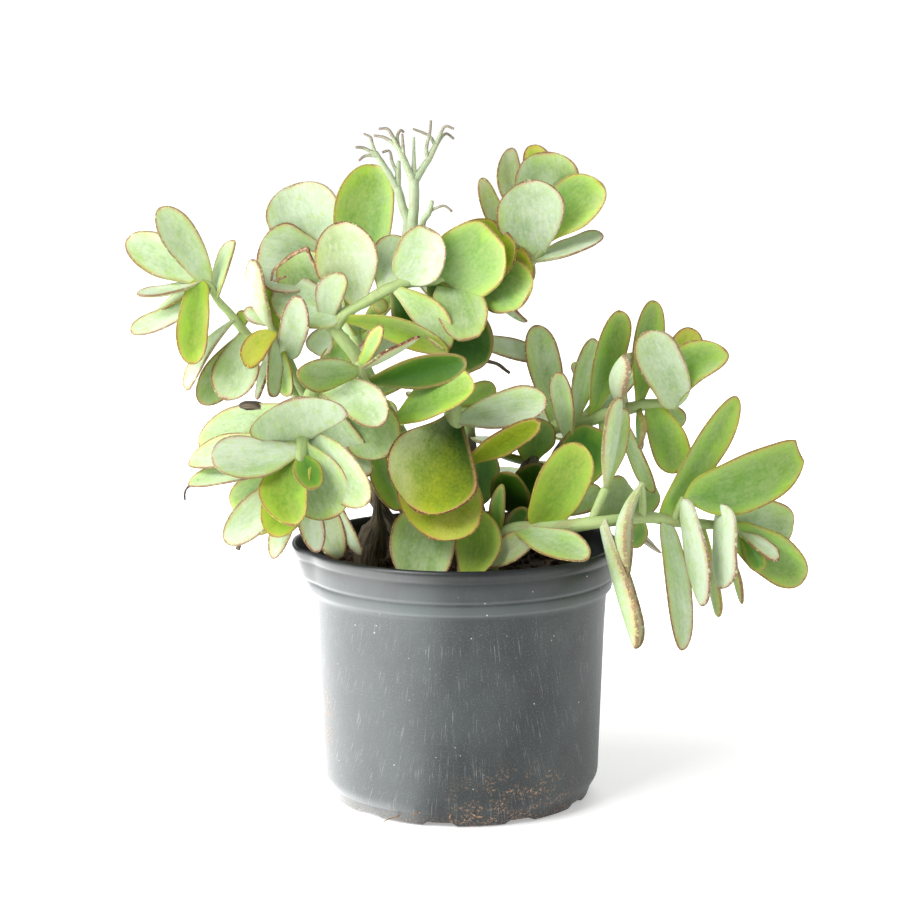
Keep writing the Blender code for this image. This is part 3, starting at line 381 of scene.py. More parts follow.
FLOWER_CURLS = [
    [(-19.5, 358, -6, 1), (-17, 360.5, -6, 0.8), (-10, 363, -7, 0.7), (-5, 359.5, -8, 0.6)],
    [(-51, 394, 3, 1), (-58, 397.5, 2, 0.8), (-63, 398, 1, 0.6)],
    [(-50, 393, 3, 1), (-57, 393, 2, 0.8), (-61, 390, 0, 0.6)],
    [(-51, 394, 3, 1), (-53, 400, 4, 0.8), (-54, 404, 4, 0.7), (-58, 406, 5, 0.6)],
    [(-37, 397, -3, 1.2), (-41, 401, -2, 1), (-46, 404, -1, 0.8), (-52, 405, 0, 0.6)],
    [(-37, 397, -3, 1.1), (-41, 405, -4, 0.9), (-44, 409, -4, 0.7), (-49, 409, -4, 0.6)],
    [(-37, 397, -3, 1), (-38, 404, -2, 0.8), (-36, 408, -2, 0.7), (-34, 407, -1, 0.6)],
    [(-34, 390, -2, 1.1), (-34.5, 398, -4, 0.8), (-35, 406, -6, 0.6)],
    [(-38, 383, 7, 1), (-41, 389, 8, 0.8), (-42.6, 395.6, 9, 0.7), (-47, 395, 9, 0.6)],
    [(-19, 390, 3, 1.1), (-20.5, 397, 2, 0.9), (-18.5, 406, 1, 0.7), (-17.7, 414, 0, 0.6)],
    [(-15, 399, 4, 1), (-18, 404, 5, 0.8), (-22, 406.5, 6, 0.7), (-28.6, 409, 6, 0.6)],
    [(-14.8, 399, 4, 1), (-12, 406, 3, 0.8), (-9, 410.5, 2, 0.7), (-4, 409, 1, 0.6)],
    [(-14.8, 399, 4, 1), (-11, 404.5, 6, 0.8), (-8, 406, 7, 0.7), (-4, 403, 8, 0.6)],
]

# Back shoots, which the front hides: a stem of plain (x, y, z, radius) points, and opposite pairs of
# leaves as (share along the stem, compass angle, rise angle, length, width)
BACK_ARCH = -0.05
BACK_CUP = 0.2
BACK_TONES = ("mid", "green", "green", "mint", "lime")
BACK_SHOOTS = {
    "shoot_back_left": (
        [(-24, 42, 143, 6), (-38, 58, 180, 5.5), (-52, 72, 222, 5), (-62, 82, 258, 4.5), (-70, 88, 285, 3.5),
         (-74, 90, 300, 3)],
        [(0.34, 5, 14, 34, 22), (0.48, 95, 18, 42, 24), (0.60, 40, 26, 36, 24), (0.72, 110, 30, 52, 28),
         (0.84, 30, 44, 40, 25), (0.95, 120, 60, 44, 24)]),
    "shoot_back_middle": (
        [(4, 50, 143, 6.5), (6, 66, 184, 6), (4, 80, 226, 5), (0, 88, 264, 4.5), (-4, 92, 290, 3.5),
         (-6, 94, 304, 3)],
        [(0.30, 95, 2, 52, 26), (0.43, 160, -6, 38, 25), (0.55, 12, 12, 40, 26), (0.67, 70, 20, 28, 24),
         (0.79, 80, 36, 52, 29), (0.90, 160, 44, 40, 26), (0.985, 75, 66, 34, 22)]),
    "shoot_back_right": (
        [(36, 38, 143, 6), (48, 52, 172, 5.5), (62, 64, 198, 5), (78, 76, 218, 4.5), (92, 83, 236, 3.5),
         (98, 86, 246, 3)],
        [(0.34, 120, 6, 54, 26), (0.48, 40, 14, 54, 26), (0.62, 124, 16, 54, 28), (0.76, 45, 34, 54, 27),
         (0.90, 130, 40, 32, 22)]),
}

# Each front shoot's stems, leaves and twigs
FRONT_SHOOTS = {
    "shoot_left_high": (LEFT_HIGH_STEMS, LEFT_HIGH_LEAVES, []),
    "shoot_crown": (CROWN_STEMS, CROWN_LEAVES, []),
    "shoot_centre": (CENTRE_STEMS, CENTRE_LEAVES, []),
    "shoot_middle": (MIDDLE_STEMS, MIDDLE_LEAVES, MIDDLE_TWIGS),
    "shoot_front": (FRONT_STEMS, FRONT_LEAVES, []),
    "shoot_left_low": (LEFT_LOW_STEMS, LEFT_LOW_LEAVES, LEFT_LOW_TWIGS),
    "shoot_right_high": (RIGHT_HIGH_STEMS, RIGHT_HIGH_LEAVES, []),
    "shoot_right_low": (RIGHT_LOW_STEMS, RIGHT_LOW_LEAVES, []),
}

# A withered leaf remnant that curls over the crown's leaves, and fine roots out of the drain notches
CROWN_REMNANT = [
    [(-114.5, 318, -8, 0.8), (-112.5, 324.5, -10, 0.9), (-107, 329, -12, 0.9), (-100, 334, -13, 1.1),
     (-93, 337, -14, 1.6), (-91.5, 334, -14, 1.3), (-89, 329, -14, 1), (-84.5, 319, -13, 0.9)],
    [(-113, 317.5, -8, 0.7), (-105.5, 320.5, -9, 0.7)],
]
FOOT_ROOTS = [
    [(-35.5, -14, -71, 0.5), (-39, -18.5, -73, 0.4), (-44, -20, -75, 0.35), (-48, -22, -76, 0.3)],
    [(-5, -15.5, -82, 0.5), (-6.5, -19.5, -84, 0.4), (-4.5, -23, -85, 0.3)],
    [(-22.5, -13.5, -78, 0.45), (-26.5, -16.5, -80, 0.4), (-31, -17, -81, 0.3)],
    [(6, -15.5, -82, 0.45), (10, -18.5, -84, 0.4), (14, -19, -85, 0.3)],
]


class Wire:
    """A shader socket that takes Python's operators, each of which adds a Math node."""

    def __init__(self, tree, socket):
        self.tree = tree
        self.socket = socket

    def maths(self, operation, *values):
        node = self.tree.nodes.new("ShaderNodeMath")
        node.operation = operation
        for slot, value in zip(node.inputs, values):
            plug(self.tree, slot, value)
        return Wire(self.tree, node.outputs[0])

    def __add__(self, other):
        return self.maths("ADD", self, other)

    __radd__ = __add__

    def __mul__(self, other):
        return self.maths("MULTIPLY", self, other)

    __rmul__ = __mul__

    def __sub__(self, other):
        return self.maths("SUBTRACT", self, other)

    def __rsub__(self, other):
        return self.maths("SUBTRACT", other, self)

    def __truediv__(self, other):
        return self.maths("DIVIDE", self, other)

    def step(self, low, high):
        """0 at low, 1 at high, and smooth between them. It falls where low is the larger."""
        node = self.tree.nodes.new("ShaderNodeMapRange")
        node.interpolation_type = "SMOOTHSTEP"
        plug(self.tree, node.inputs["Value"], self)
        falls = float(low > high)
        for key, value in (("From Min", min(low, high)), ("From Max", max(low, high)),
                           ("To Min", falls), ("To Max", 1.0 - falls)):
            node.inputs[key].default_value = value
        return Wire(self.tree, node.outputs["Result"])


def plug(tree, slot, value):
    if isinstance(value, Wire):
        tree.links.new(value.socket, slot)
    elif isinstance(value, tuple) and len(value) == 3 and slot.type == "RGBA":
        slot.default_value = (*value, 1.0)
    else:
        slot.default_value = value


def paint(hexed):
    """A linear colour from a six-figure sRGB one."""
    parts = [int(hexed[k:k + 2], 16) / 255.0 for k in (0, 2, 4)]
    return tuple(p / 12.92 if p <= 0.04045 else ((p + 0.055) / 1.055) ** 2.4 for p in parts)


def grey(value):
    return (value, value, value)


class Finish:
    """A Principled material and short ways to its nodes."""

    def __init__(self, name, **constants):
        self.material = bpy.data.materials.new(name)
        self.material.use_nodes = True
        self.tree = self.material.node_tree
        self.shader = self.tree.nodes["Principled BSDF"]
        for key, value in constants.items():
            self.shader.inputs[key.replace("_", " ")].default_value = value

    def node(self, kind, settings=None, output=0, **values):
        """One node: its settings first, then the values or wires of its sockets."""
        made = self.tree.nodes.new(kind)
        for key, value in (settings or {}).items():
            setattr(made, key, value)
        for key, value in values.items():
            plug(self.tree, made.inputs[key.replace("_", " ")], value)
        return Wire(self.tree, made.outputs[output])

    def place(self):
        return self.node("ShaderNodeTexCoord", output="Object")

    def marks(self, name):
        """The three numbers that a mesh holds at each point under this name."""
        return self.split(self.node("ShaderNodeAttribute", {"attribute_name": name}, "Vector"))

    def split(self, wire):
        made = self.tree.nodes.new("ShaderNodeSeparateXYZ")
        plug(self.tree, made.inputs[0], wire)
        return [Wire(self.tree, out) for out in made.outputs]

    def join(self, x, y, z):
        return self.node("ShaderNodeCombineXYZ", X=x, Y=y, Z=z)

    def noise(self, where, scale, detail=3.0, rough=0.55):
        return self.node("ShaderNodeTexNoise", Vector=where, Scale=scale, Detail=detail, Roughness=rough)

    def cells(self, where, scale):
        """The distance to the nearest of many scattered points."""
        return self.node("ShaderNodeTexVoronoi", None, "Distance", Vector=where, Scale=scale)

    def mix(self, amount, first, second):
        made = self.tree.nodes.new("ShaderNodeMix")
        made.data_type = "RGBA"
        made.clamp_factor = True
        plug(self.tree, made.inputs[0], amount)
        plug(self.tree, made.inputs[6], first)
        plug(self.tree, made.inputs[7], second)
        return Wire(self.tree, made.outputs[2])

    def tint(self, colour, amount):
        """Multiply a colour by a grey number."""
        return self.node("ShaderNodeVectorMath", {"operation": "SCALE"}, Vector=colour, Scale=amount)

    def done(self, colour, rough, height=None, relief=0.3, reach=0.001):
        plug(self.tree, self.shader.inputs["Base Color"], colour)
        plug(self.tree, self.shader.inputs["Roughness"], rough)
        if height is not None:
            bump = self.node("ShaderNodeBump", Height=height, Strength=relief, Distance=reach)
            plug(self.tree, self.shader.inputs["Normal"], bump)
        return self.material


def leaf_finish(settings):
    """Fleshy leaf: green that deepens away from the margin and is darkened by the painted shade in its tone,
    faint streaks along it, patchy waxy bloom with a fine stipple, a pale rim, and a corky margin that is
    strongest round the tip."""
    f = Finish("kalanchoe_leaf", Subsurface_Weight=0.16, Subsurface_Scale=0.004, Specular_IOR_Level=0.38)
    f.shader.inputs["Subsurface Radius"].default_value = (0.6, 1.0, 0.2)
    along, across, edge = f.marks("place_mm")
    bloom, yellow, dark = f.marks("tone")
    margin, luck, share = f.marks("more")
    spot = f.join(along * 0.05 + luck * 37.0, across * 0.07, luck * 91.0)
    streaky = f.join(along * 0.05 + luck * 53.0, across * 0.42, luck * 17.0)
    cloud = f.noise(spot, 1.3, 2.0)
    mottle = f.noise(spot, 8.0, 4.0, 0.65)
    streak = f.noise(streaky, 1.2, 3.0, 0.6)
    fine = f.noise(f.join(along * 0.25, across * 1.1, luck * 29.0), 1.4, 2.0)
    stipple = f.noise(f.join(along * 1.1, across * 1.1, luck * 43.0), 1.0, 3.0, 0.7)
    heart = (edge + (cloud - 0.5) * 16.0).step(0.5, 10.0)
    green = f.mix(heart, paint("86b636"), tuple(settings.leaf_green))
    # Painted shade: the tone's darkness mixes the green towards a deep shadow green
    green = f.mix(dark, green, paint("1c4408"))
    rim = (edge + (mottle - 0.5) * 2.0).step(3.4, 0.3)
    gold = yellow * (0.30 + cloud * 1.4) + rim * (0.22 + yellow * 0.4)
    gold = gold + (mottle - 0.5) * (0.3 + yellow * 1.3)
    flesh = f.mix(gold, green, paint("b6b82a"))
    patch = (cloud * 0.75 + mottle * 0.45 + streak * 0.2).step(0.42, 0.93)
    wax = bloom * (1.0 + (patch - 0.55) * 1.15 * (1.3 - bloom)) * (0.84 + stipple * 0.32) - rim * 0.12
    flesh = f.mix(wax, flesh, tuple(settings.leaf_bloom))
    worn = f.noise(spot, 4.5, 3.0, 0.6).step(0.52, 0.66) * bloom
    flesh = f.mix(worn * 0.42, flesh, paint("aec656"))
    flesh = f.tint(flesh, 0.80 + streak * 0.16 + fine * 0.10 + stipple * 0.16)
    strong = margin * (share.step(0.05, 0.65) * 0.65 + 0.35) * mottle.step(0.30, 0.50)
    blush = (edge + (mottle - 0.5) * 2.4).step(3.6, 0.6) * strong
    flesh = f.mix(blush * 0.72, flesh, paint("c88970"))
    cork = (edge + (fine - 0.5) * 1.4 + (mottle - 0.5) * 1.6).step(1.55, 0.75) * strong
    skin = f.mix(stipple.step(0.42, 0.58), paint("3a2418"), tuple(settings.leaf_margin))
    flesh = f.mix(cork * 0.95, flesh, skin)
    speck = f.cells(f.join(along * 0.42, across * 0.42, luck * 61.0), 1.0).step(0.13, 0.04)
    speck = speck * f.noise(spot, 3.0, 1.0).step(0.52, 0.62)
    flesh = f.mix(speck * 0.6, flesh, paint("5f5a30"))
    rough = 0.36 + wax * 0.22 + cork * 0.3
    height = mottle * 0.3 + streak * 0.2 + cork * 0.9 + fine * 0.2 + stipple * 0.2
    return f.done(flesh, rough, height, 0.16, 0.0006)


def stem_finish(settings):
    """Stem: grey-green and smooth where young, brown, cracked bark where woody, and red-brown in places."""
    f = Finish("kalanchoe_stem", Subsurface_Weight=0.03, Subsurface_Scale=0.003)
    along, round_mm, wood = f.marks("place_mm")
    grain = f.noise(f.join(along * 0.06, round_mm * 0.5, 3.0), 1.0, 4.0, 0.65)
    blotch = f.noise(f.join(along * 0.07, round_mm * 0.08, 9.0), 1.0, 2.0)
    rings = f.noise(f.join(along * 0.9, round_mm * 0.05, 5.0), 1.0, 2.0)
    young = f.mix(blotch.step(0.46, 0.72), paint("a3b878"), paint("9aa06a"))
    young = f.mix(rings.step(0.62, 0.74) * 0.55, young, paint("7a6846"))
    bark = f.mix(grain.step(0.35, 0.68), paint("2a241c"), paint("6e614e"))
    colour = f.mix((wood + (blotch - 0.5) * 0.5).step(0.3, 0.7), young, bark)
    colour = f.tint(colour, 0.78 + grain * 0.44)
    return f.done(colour, 0.62 + wood * 0.25, grain * 0.9 + rings * 0.5, 0.6, 0.001)


def stalk_finish():
    """Dry flower stalk: pale grey-green straw that browns towards its curled tips."""
    f = Finish("dry_stalk", Subsurface_Weight=0.05, Subsurface_Scale=0.003)
    along, round_mm, brown = f.marks("place_mm")
    grain = f.noise(f.join(along * 0.05, round_mm * 1.2, 3.0), 1.0, 3.0)
    blotch = f.noise(f.join(along * 0.25, round_mm * 0.2, 8.0), 1.0, 2.0)
    straw = f.mix(blotch.step(0.35, 0.7), paint("a9bb97"), paint("a3a886"))
    colour = f.mix((brown + (blotch - 0.5) * 0.5).step(0.45, 0.95), straw, paint("8b8272"))
    colour = f.tint(colour, 0.85 + grain * 0.3)
    return f.done(colour, 0.7, grain, 0.35, 0.0006)


def dry_skin_finish():
    """Dry brown skin: a red-brown that lightens in blotches along it."""
    f = Finish("dry_skin")
    along, round_mm, _ = f.marks("place_mm")
    blotch = f.noise(f.join(along * 0.35, round_mm * 0.3, 4.0), 1.0, 3.0)
    colour = f.mix(blotch.step(0.35, 0.65), paint("6b4a34"), paint("b99a78"))
    return f.done(colour, 0.8, blotch, 0.4, 0.0006)


def soil_finish(settings):
    """Damp potting soil: dark crumbs, browner patches and a few pale grains."""
    f = Finish("potting_soil", Specular_IOR_Level=0.25)
    where = f.place()
    crumb = f.noise(where, 900.0, 5.0, 0.7)
    patch = f.noise(where, 140.0, 3.0)
    grain = f.cells(where, 520.0)
    colour = f.mix(patch.step(0.35, 0.7), tuple(settings.soil_colour), paint("554030"))
    colour = f.mix(crumb.step(0.60, 0.78) * 0.75, colour, paint("7a5c40"))
    colour = f.mix(grain.step(0.16, 0.06) * 0.3, colour, paint("a8977a"))
    return f.done(colour, 0.95, crumb + grain * 0.6, 0.8, 0.0015)


def pot_finish(settings):
    """Thin black moulded plastic: dull sheen, fine leaning scratches, grainy specks and brown soil dust, with
    painted shade that darkens the lip towards its top and painted highlights along the rim's ledges.
    around and up are millimetres on the wall, and front is 0 in the middle of the side that faces the
    camera."""
    f = Finish("nursery_pot_plastic", Specular_IOR_Level=0.55)
    x, y, z = f.split(f.place())
    around = y.maths("ARCTAN2", y, x) * 90.0
    up = z * 1000.0
    front = around + 141.4
    lean = around + front * up * 0.008
    broad = f.noise(f.join(around * 0.035, up * 0.02, 4.0), 1.0, 3.0, 0.6)
    grain = f.noise(f.join(around * 0.9, up * 0.9, 2.0), 1.0, 3.0, 0.75)
    scratch = f.noise(f.join(lean * 2.2, up * 0.04, 7.0), 1.0, 3.0, 0.6)
    thin = f.noise(f.join(around * 0.16, up * 0.07, 6.0), 1.0, 2.0).step(0.40, 0.62)
    wall = up.step(131.0, 124.0)
    colour = f.mix(broad.step(0.30, 0.75) * 0.55, tuple(settings.pot_colour), paint("454d4c"))
    colour = f.mix(grain.step(0.52, 0.78) * (0.15 + wall * 0.40), colour, paint("7f8a88"))
    colour = f.mix(grain.step(0.44, 0.27) * 0.65, colour, paint("101313"))
    # Painted shade: the rolled lip's colour darkens towards its top. The lip is also made a little glossier
    # than the wall
    crest = up.step(141.0, 155.0)
    colour = f.mix(crest * 0.85, colour, paint("0b0e0f"))
    band = up.step(130.0, 131.5) * up.step(137.5, 136.0)
    colour = f.mix(band * 0.35, colour, paint("6a7271"))
    line = scratch.step(0.60, 0.70) * thin
    colour = f.mix(line * (0.12 + wall * 0.62), colour, paint("b4b9ba"))
    # Painted highlights: lighter lines along the two ledges of the rim, broken up by the grain
    step = up.step(127.0, 130.5) * up.step(132.4, 131.0) + up.step(137.6, 138.6) * up.step(140.4, 139.4)
    colour = f.mix(step * (0.04 + grain * 0.22), colour, paint("9aa09f"))
    dots = f.cells(f.join(around * 0.16, up * 0.16, 3.0), 1.0).step(0.085, 0.05)
    dots = dots * f.noise(f.join(around * 0.11, up * 0.11, 12.0), 1.0, 1.0).step(0.50, 0.58)
    colour = f.mix(dots * 0.85, colour, paint("d8d6d0"))
    crust = f.noise(f.join(around * 0.55, up * 0.55, 5.0), 1.0, 5.0, 0.8).step(0.52, 0.62)
    right = f.noise(f.join(around * 0.10, up * 0.12, 8.0), 1.0, 2.0).step(0.44, 0.56)
    near_foot = up.step(46.0, 12.0) * front.step(-20.0, 22.0) * front.step(95.0, 55.0)
    rusty = ((front + 108.0) * (front + 108.0) * 0.012 + (up - 52.0) * (up - 52.0) * 0.0022).step(1.8, 0.2)
    rusty = rusty * f.noise(f.join(around * 0.16, up * 0.12, 15.0), 1.0, 2.0).step(0.42, 0.54)
    bottom = up.step(9.0, 2.0) * 0.6
    dust = crust * (near_foot * right * 1.2 + rusty * 1.1 + bottom)
    colour = f.mix(dust * 0.95, colour, paint("bb9474"))
    rough = 0.33 + broad * 0.14 + dust * 0.4 + grain * 0.14 - crest * 0.10
    return f.done(colour, rough, grain * 0.4 + dust * 1.2 + line * 0.6, 0.12, 0.0006)


# Shapes

def ring_turns(count):
    """The angles of evenly spaced points round a ring."""
    return np.linspace(0.0, 2.0 * np.pi, count, endpoint=False)[None, :]


def unit(vector):
    return vector / np.linalg.norm(vector)


def lengths_along(spots):
    """How far each spot of a path is from its start, measured along the path."""
    return np.concatenate([[0.0], np.cumsum(np.linalg.norm(np.diff(spots, axis=0), axis=1))])


def seen(x, z, depth):
    """The point seen at (x, z) on the pot's axis plane, slid along the line of sight to its depth."""
    return EYE + (np.array([x, 0.0, z]) - EYE) * (1.0 + depth / -EYE[1])


def smooth_path(points, steps):
    """Catmull-Rom curve through rows of numbers, steps rows to a stretch."""
    p = np.asarray(points, float)
    p = np.vstack([p[:1], p, p[-1:]])
    t = np.linspace(0.0, 1.0, steps, endpoint=False)[None, :, None]
    p0, p1, p2, p3 = (p[k:len(p) - 3 + k, None, :] for k in range(4))
    rows = 0.5 * (2 * p1 + (p2 - p0) * t + (2 * p0 - 5 * p1 + 4 * p2 - p3) * t ** 2
                  + (3 * p1 - p0 - 3 * p2 + p3) * t ** 3)
    return np.vstack([rows.reshape(-1, p.shape[1]), p[-1:]])


def seen_rows(points, steps):
    """Real rows (x, y, z, radius) of a stem whose points were read from the front."""
    return smooth_path([(*seen(x, z, d), r) for x, z, d, r in points], steps)


def outline(s, blunt, neck, widest, full):
    """Half width of a leaf along it: a sine rise from the neck to the widest place, then a round fall."""
    if blunt:
        return np.sqrt(np.clip(1.0 - np.abs((s - 0.52) / 0.52) ** 2.2, 0.0, 1.0))
    rise = neck + (1.0 - neck) * np.sin(0.5 * np.pi * np.clip(s / widest, 0, 1)) ** 1.35
    fall = np.sqrt(np.clip(1.0 - np.clip((s - widest) / (1.0 - widest), 0, 1) ** full, 0.0, 1.0))
    return np.where(s < widest, rise, fall)


def wrapped_faces(rows, columns, first):
    """Quads of a tube of rows by columns points that closes round its columns. first is its first point."""
    i = np.arange(rows - 1)[:, None]
    j = np.arange(columns)[None, :]
    a = i * columns + j
    b = i * columns + (j + 1) % columns
    return first + np.stack([a, b, b + columns, a + columns], -1).reshape(-1, 4)


def leaf_shape(root, tip, width, face, luck, thick, arch=0.0, blunt=0, bow=0.0, neck=LEAF_NECK,
               cup=LEAF_CUP):
    """A fleshy blade as a tube of flattened rings. A ring at the share s of the length is a squashed round
    of half width h(s) and half thickness t(s); its sides lift by cup times h towards the upper face, the
    middle line bows by arch, and the margin waves a little. A ring runs so that the faces look outwards.
    Returns points, place and upper."""
    length = np.linalg.norm(tip - root)
    along = (tip - root) / length
    up = np.asarray(face, float)
    up = unit(up - up @ along * along)
    side = np.cross(along, up)
    s = (1.0 - np.cos(np.linspace(0.0, 1.0, LEAF_ROWS) * np.pi * 0.985)) / 2.0
    s = s / s[-1]
    s = s[:, None]
    turn = ring_turns(LEAF_COLUMNS)
    wave = np.sin(s * (9.0 + 4.0 * luck) + luck * 40.0)
    lean = 0.035 * np.sin(s * np.pi) * (luck - 0.5) * 2.0
    whim = np.sin(luck * np.array([61.0, 137.0, 211.0]))
    half = 0.5 * width * outline(s, blunt, neck, LEAF_WIDEST + 0.05 * whim[0], 2.25 + 0.45 * whim[1])
    if neck > 0.4:
        half = half * (0.12 + 0.88 * np.sqrt(1.0 - (1.0 - np.clip(s / 0.17, 0.0, 1.0)) ** 2))
    half = np.maximum(half, LEAST_HALF_WIDTH)
    q = np.sign(np.cos(turn)) * np.abs(np.cos(turn)) ** 0.82
    w = np.sign(np.sin(turn)) * np.abs(np.sin(turn)) ** 0.9
    body = 0.5 * thick * (0.55 + 0.45 * np.sin(np.pi * np.clip(s * 0.9 + 0.1, 0, 1)) ** 0.7)
    body = np.minimum(body, 0.30 * half + 0.45) * np.sqrt(np.clip((1.0 - s) / 0.035, 0.0, 1.0))
    body = np.maximum(body, LEAST_HALF_THICKNESS)
    across = q * half * (1.0 + (0.02 * wave + 0.06 * whim[2] * np.sin(np.pi * s)) * np.sign(q)) + lean * width
    lift = cup * half * q * q + 4.0 * arch * length * s * (1.0 - s) + 0.35 * wave * q * q * q
    groove = -0.35 * np.exp(-(q / 0.10) ** 2) * (w > 0) * np.sin(np.pi * np.clip(s, 0, 1)) * 0.8
    height = lift + body * w * (1.0 - 0.35 * q * q) + groove
    across = across + 4.0 * bow * length * s * (1.0 - s)
    points = root + along * (s * length)[..., None] + side * across[..., None] + up * height[..., None]
    edge = np.minimum(half * (1.0 - np.abs(q)), (1.0 - s) * length)
    place = np.stack(np.broadcast_arrays(s * length, q * half, edge), -1)
    upper = np.broadcast_to(w > 0, place.shape[:2]).astype(float)
    return points[:, ::-1].reshape(-1, 3), place[:, ::-1].reshape(-1, 3), upper[:, ::-1].reshape(-1)


def tube_shape(rows, sides, rough, seed):
    """A round stem carried along its path: each ring is turned from the last without twist, and its
    radius is ruffled by a few sines, so that it looks grown. Returns points, place (along, round, along),
    the path's spots and how far along each is."""
    rng = np.random.default_rng(seed)
    spots, radius = rows[:, :3], rows[:, 3]
    ahead = np.gradient(spots, axis=0)
    ahead /= np.linalg.norm(ahead, axis=1)[:, None]
    across = np.zeros_like(spots)
    start = np.array([1.0, 0.2, 0.1])
    for i, way in enumerate(ahead):
        start = unit(start - start @ way * way)
        across[i] = start
    other = np.cross(ahead, across)
    gone = lengths_along(spots)
    turn = ring_turns(sides)
    bumps = sum(rng.uniform(0.3, 1.0) * np.sin(gone[:, None] * rng.uniform(0.1, 0.9) + k * turn
                                               + rng.uniform(0.0, 6.28)) for k in (0, 1, 2, 3, 1, 2))
    r = radius[:, None] * (1.0 + rough * bumps / 3.0)
    points = (spots[:, None, :] + across[:, None, :] * (r * np.cos(turn))[..., None]
              + other[:, None, :] * (r * np.sin(turn))[..., None])
    place = np.stack(np.broadcast_arrays(gone[:, None], turn * radius.max(), gone[:, None]), -1)
    return points.reshape(-1, 3), place.reshape(-1, 3), spots, gone


class Body:
    """Points, quads and marks of many closed tubes, gathered into one mesh. A tube's rings run
    anticlockwise seen from its far end, so that its faces look outwards."""

    def __init__(self):
        self.points, self.quads, self.caps = [], [], []
        self.place, self.tone, self.more, self.slots = [], [], [], []
        self.count = 0

    def add(self, points, rows, columns, place, tone, more, slot):
        quads = wrapped_faces(rows, columns, self.count)
        self.points.append(points)
        self.quads.append(quads)
        first, last = self.count, self.count + (rows - 1) * columns
        self.caps.append((np.arange(first, first + columns)[::-1], slot))
        self.caps.append((np.arange(last, last + columns), slot))
        self.place.append(place)
        self.tone.append(np.broadcast_to(tone, points.shape))
        self.more.append(more)
        self.slots.append(np.full(len(quads), slot))
        self.count += len(points)

    def add_plain(self, points, rows, columns):
        """A tube whose material reads no marks."""
        blank = np.zeros_like(points)
        self.add(points, rows, columns, blank, np.zeros(3), blank, 0)

    def make(self, name, materials):
        mesh = bpy.data.meshes.new(name)
        points = np.vstack(self.points) * MM
        quads = np.vstack(self.quads)
        sizes = np.concatenate([np.full(len(quads), 4), [len(cap) for cap, _ in self.caps]]).astype(np.int32)
        loops = np.concatenate([quads.reshape(-1)] + [cap for cap, _ in self.caps]).astype(np.int32)
        slots = np.concatenate(self.slots + [[slot for _, slot in self.caps]]).astype(np.int32)
        mesh.vertices.add(len(points))
        mesh.vertices.foreach_set("co", points.reshape(-1))
        mesh.loops.add(len(loops))
        mesh.loops.foreach_set("vertex_index", loops)
        mesh.polygons.add(len(sizes))
        mesh.polygons.foreach_set("loop_start", np.concatenate([[0], np.cumsum(sizes)[:-1]]).astype(np.int32))
        mesh.polygons.foreach_set("material_index", slots)
        mesh.update(calc_edges=True)
        mesh.validate()
        for key, rows in (("place_mm", self.place), ("tone", self.tone), ("more", self.more)):
            marks = mesh.attributes.new(key, "FLOAT_VECTOR", "POINT")
            marks.data.foreach_set("vector", np.vstack(rows).astype(np.float32).reshape(-1))
        for material in materials:
            mesh.materials.append(material)
        mesh.shade_smooth()
        obj = bpy.data.objects.new(name, mesh)
        bpy.context.scene.collection.objects.link(obj)
        return obj


def add_leaf(body, root, tip, width, face, tone, luck, thick, **form):
    """A leaf and its marks: the tone varies from leaf to leaf, across the blade and along it, with painted
    shade that darkens it towards the base.
    """
    points, place, upper = leaf_shape(root, tip, width, face, luck, thick, **form)
    bloom, yellow, dark, margin = TONES[tone]
    jitter = luck - 0.5
    tones = np.array([bloom * (1.0 + 0.25 * jitter), yellow * (1.0 - 0.4 * jitter), dark])
    tones = np.broadcast_to(tones, points.shape).copy()
    share = np.clip(place[:, 0] / place[:, 0].max(), 0.0, 1.0)
    q = np.clip(place[:, 1] / (0.5 * width), -1.0, 1.0)
    if tone == "old":
        tones[:, 0] = 0.40 * np.clip(0.1 + 1.1 * q, 0.0, 1.0)
        tones[:, 1] = 0.80 * np.clip(share - 0.05 + 0.35 * q, 0.0, 1.0)
        # Painted shade: the old leaf is darker towards its base and along one side
        tones[:, 2] = np.clip(1.25 - 1.30 * share - 0.45 * q, 0.0, 1.0)
    elif dark < 0.3:
        tilt = q * math.sin(77.0 * luck)
        tones[:, 0] *= 1.0 + 0.40 * tilt
        tones[:, 1] += 0.16 * share ** 2 - 0.12 * tilt * (1.0 - bloom)
        # Painted shade: the green darkens towards the leaf's base, where the leaves crowd and shade each
        # other
        tones[:, 2] += 0.28 * np.clip(0.55 - share, 0.0, 1.0) * (1.0 - bloom)
    tones[:, 0] += 0.15 * (1.0 - upper) * (1.0 - tones[:, 0])
    cork = margin * (0.85 + 0.3 * luck)
    more = np.stack(np.broadcast_arrays(cork, luck, share), -1)
    body.add(points, LEAF_ROWS, LEAF_COLUMNS, place, tones, more, 0)


def add_stem(body, rows, sides, rough, seed, wood, slot):
    """wood is a function of the real height and the share of the length that gives how woody it is."""
    points, place, spots, gone = tube_shape(rows, sides, rough, seed)
    place[:, 2] = np.repeat(wood(spots[:, 2], gone / gone[-1]), sides)
    body.add(points, len(rows), sides, place, np.zeros(3), np.zeros_like(points), slot)


def all_wood(height, share):
    return np.ones_like(height)


def stalk_browning(height, share):
    return 0.25 * share


def curl_browning(height, share):
    return 0.45 + 0.55 * share


def rooted(rows):
    """Let the stem run straight down from its first point into the soil."""
    foot = np.tile(rows[0], (4, 1))
    foot[:, 2] = np.linspace(STEM_FOOT, rows[0, 2] - 3.0, 4)
    return np.vstack([foot, rows])


def place_piece(obj, slot, *nodes):
    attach(obj, "root")
    if nodes:
        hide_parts(*nodes)


def bark_by_height(low, high):
    """Bark below low, green above high."""
    return lambda height, share: np.clip((high - height) / (high - low), 0.0, 1.0)


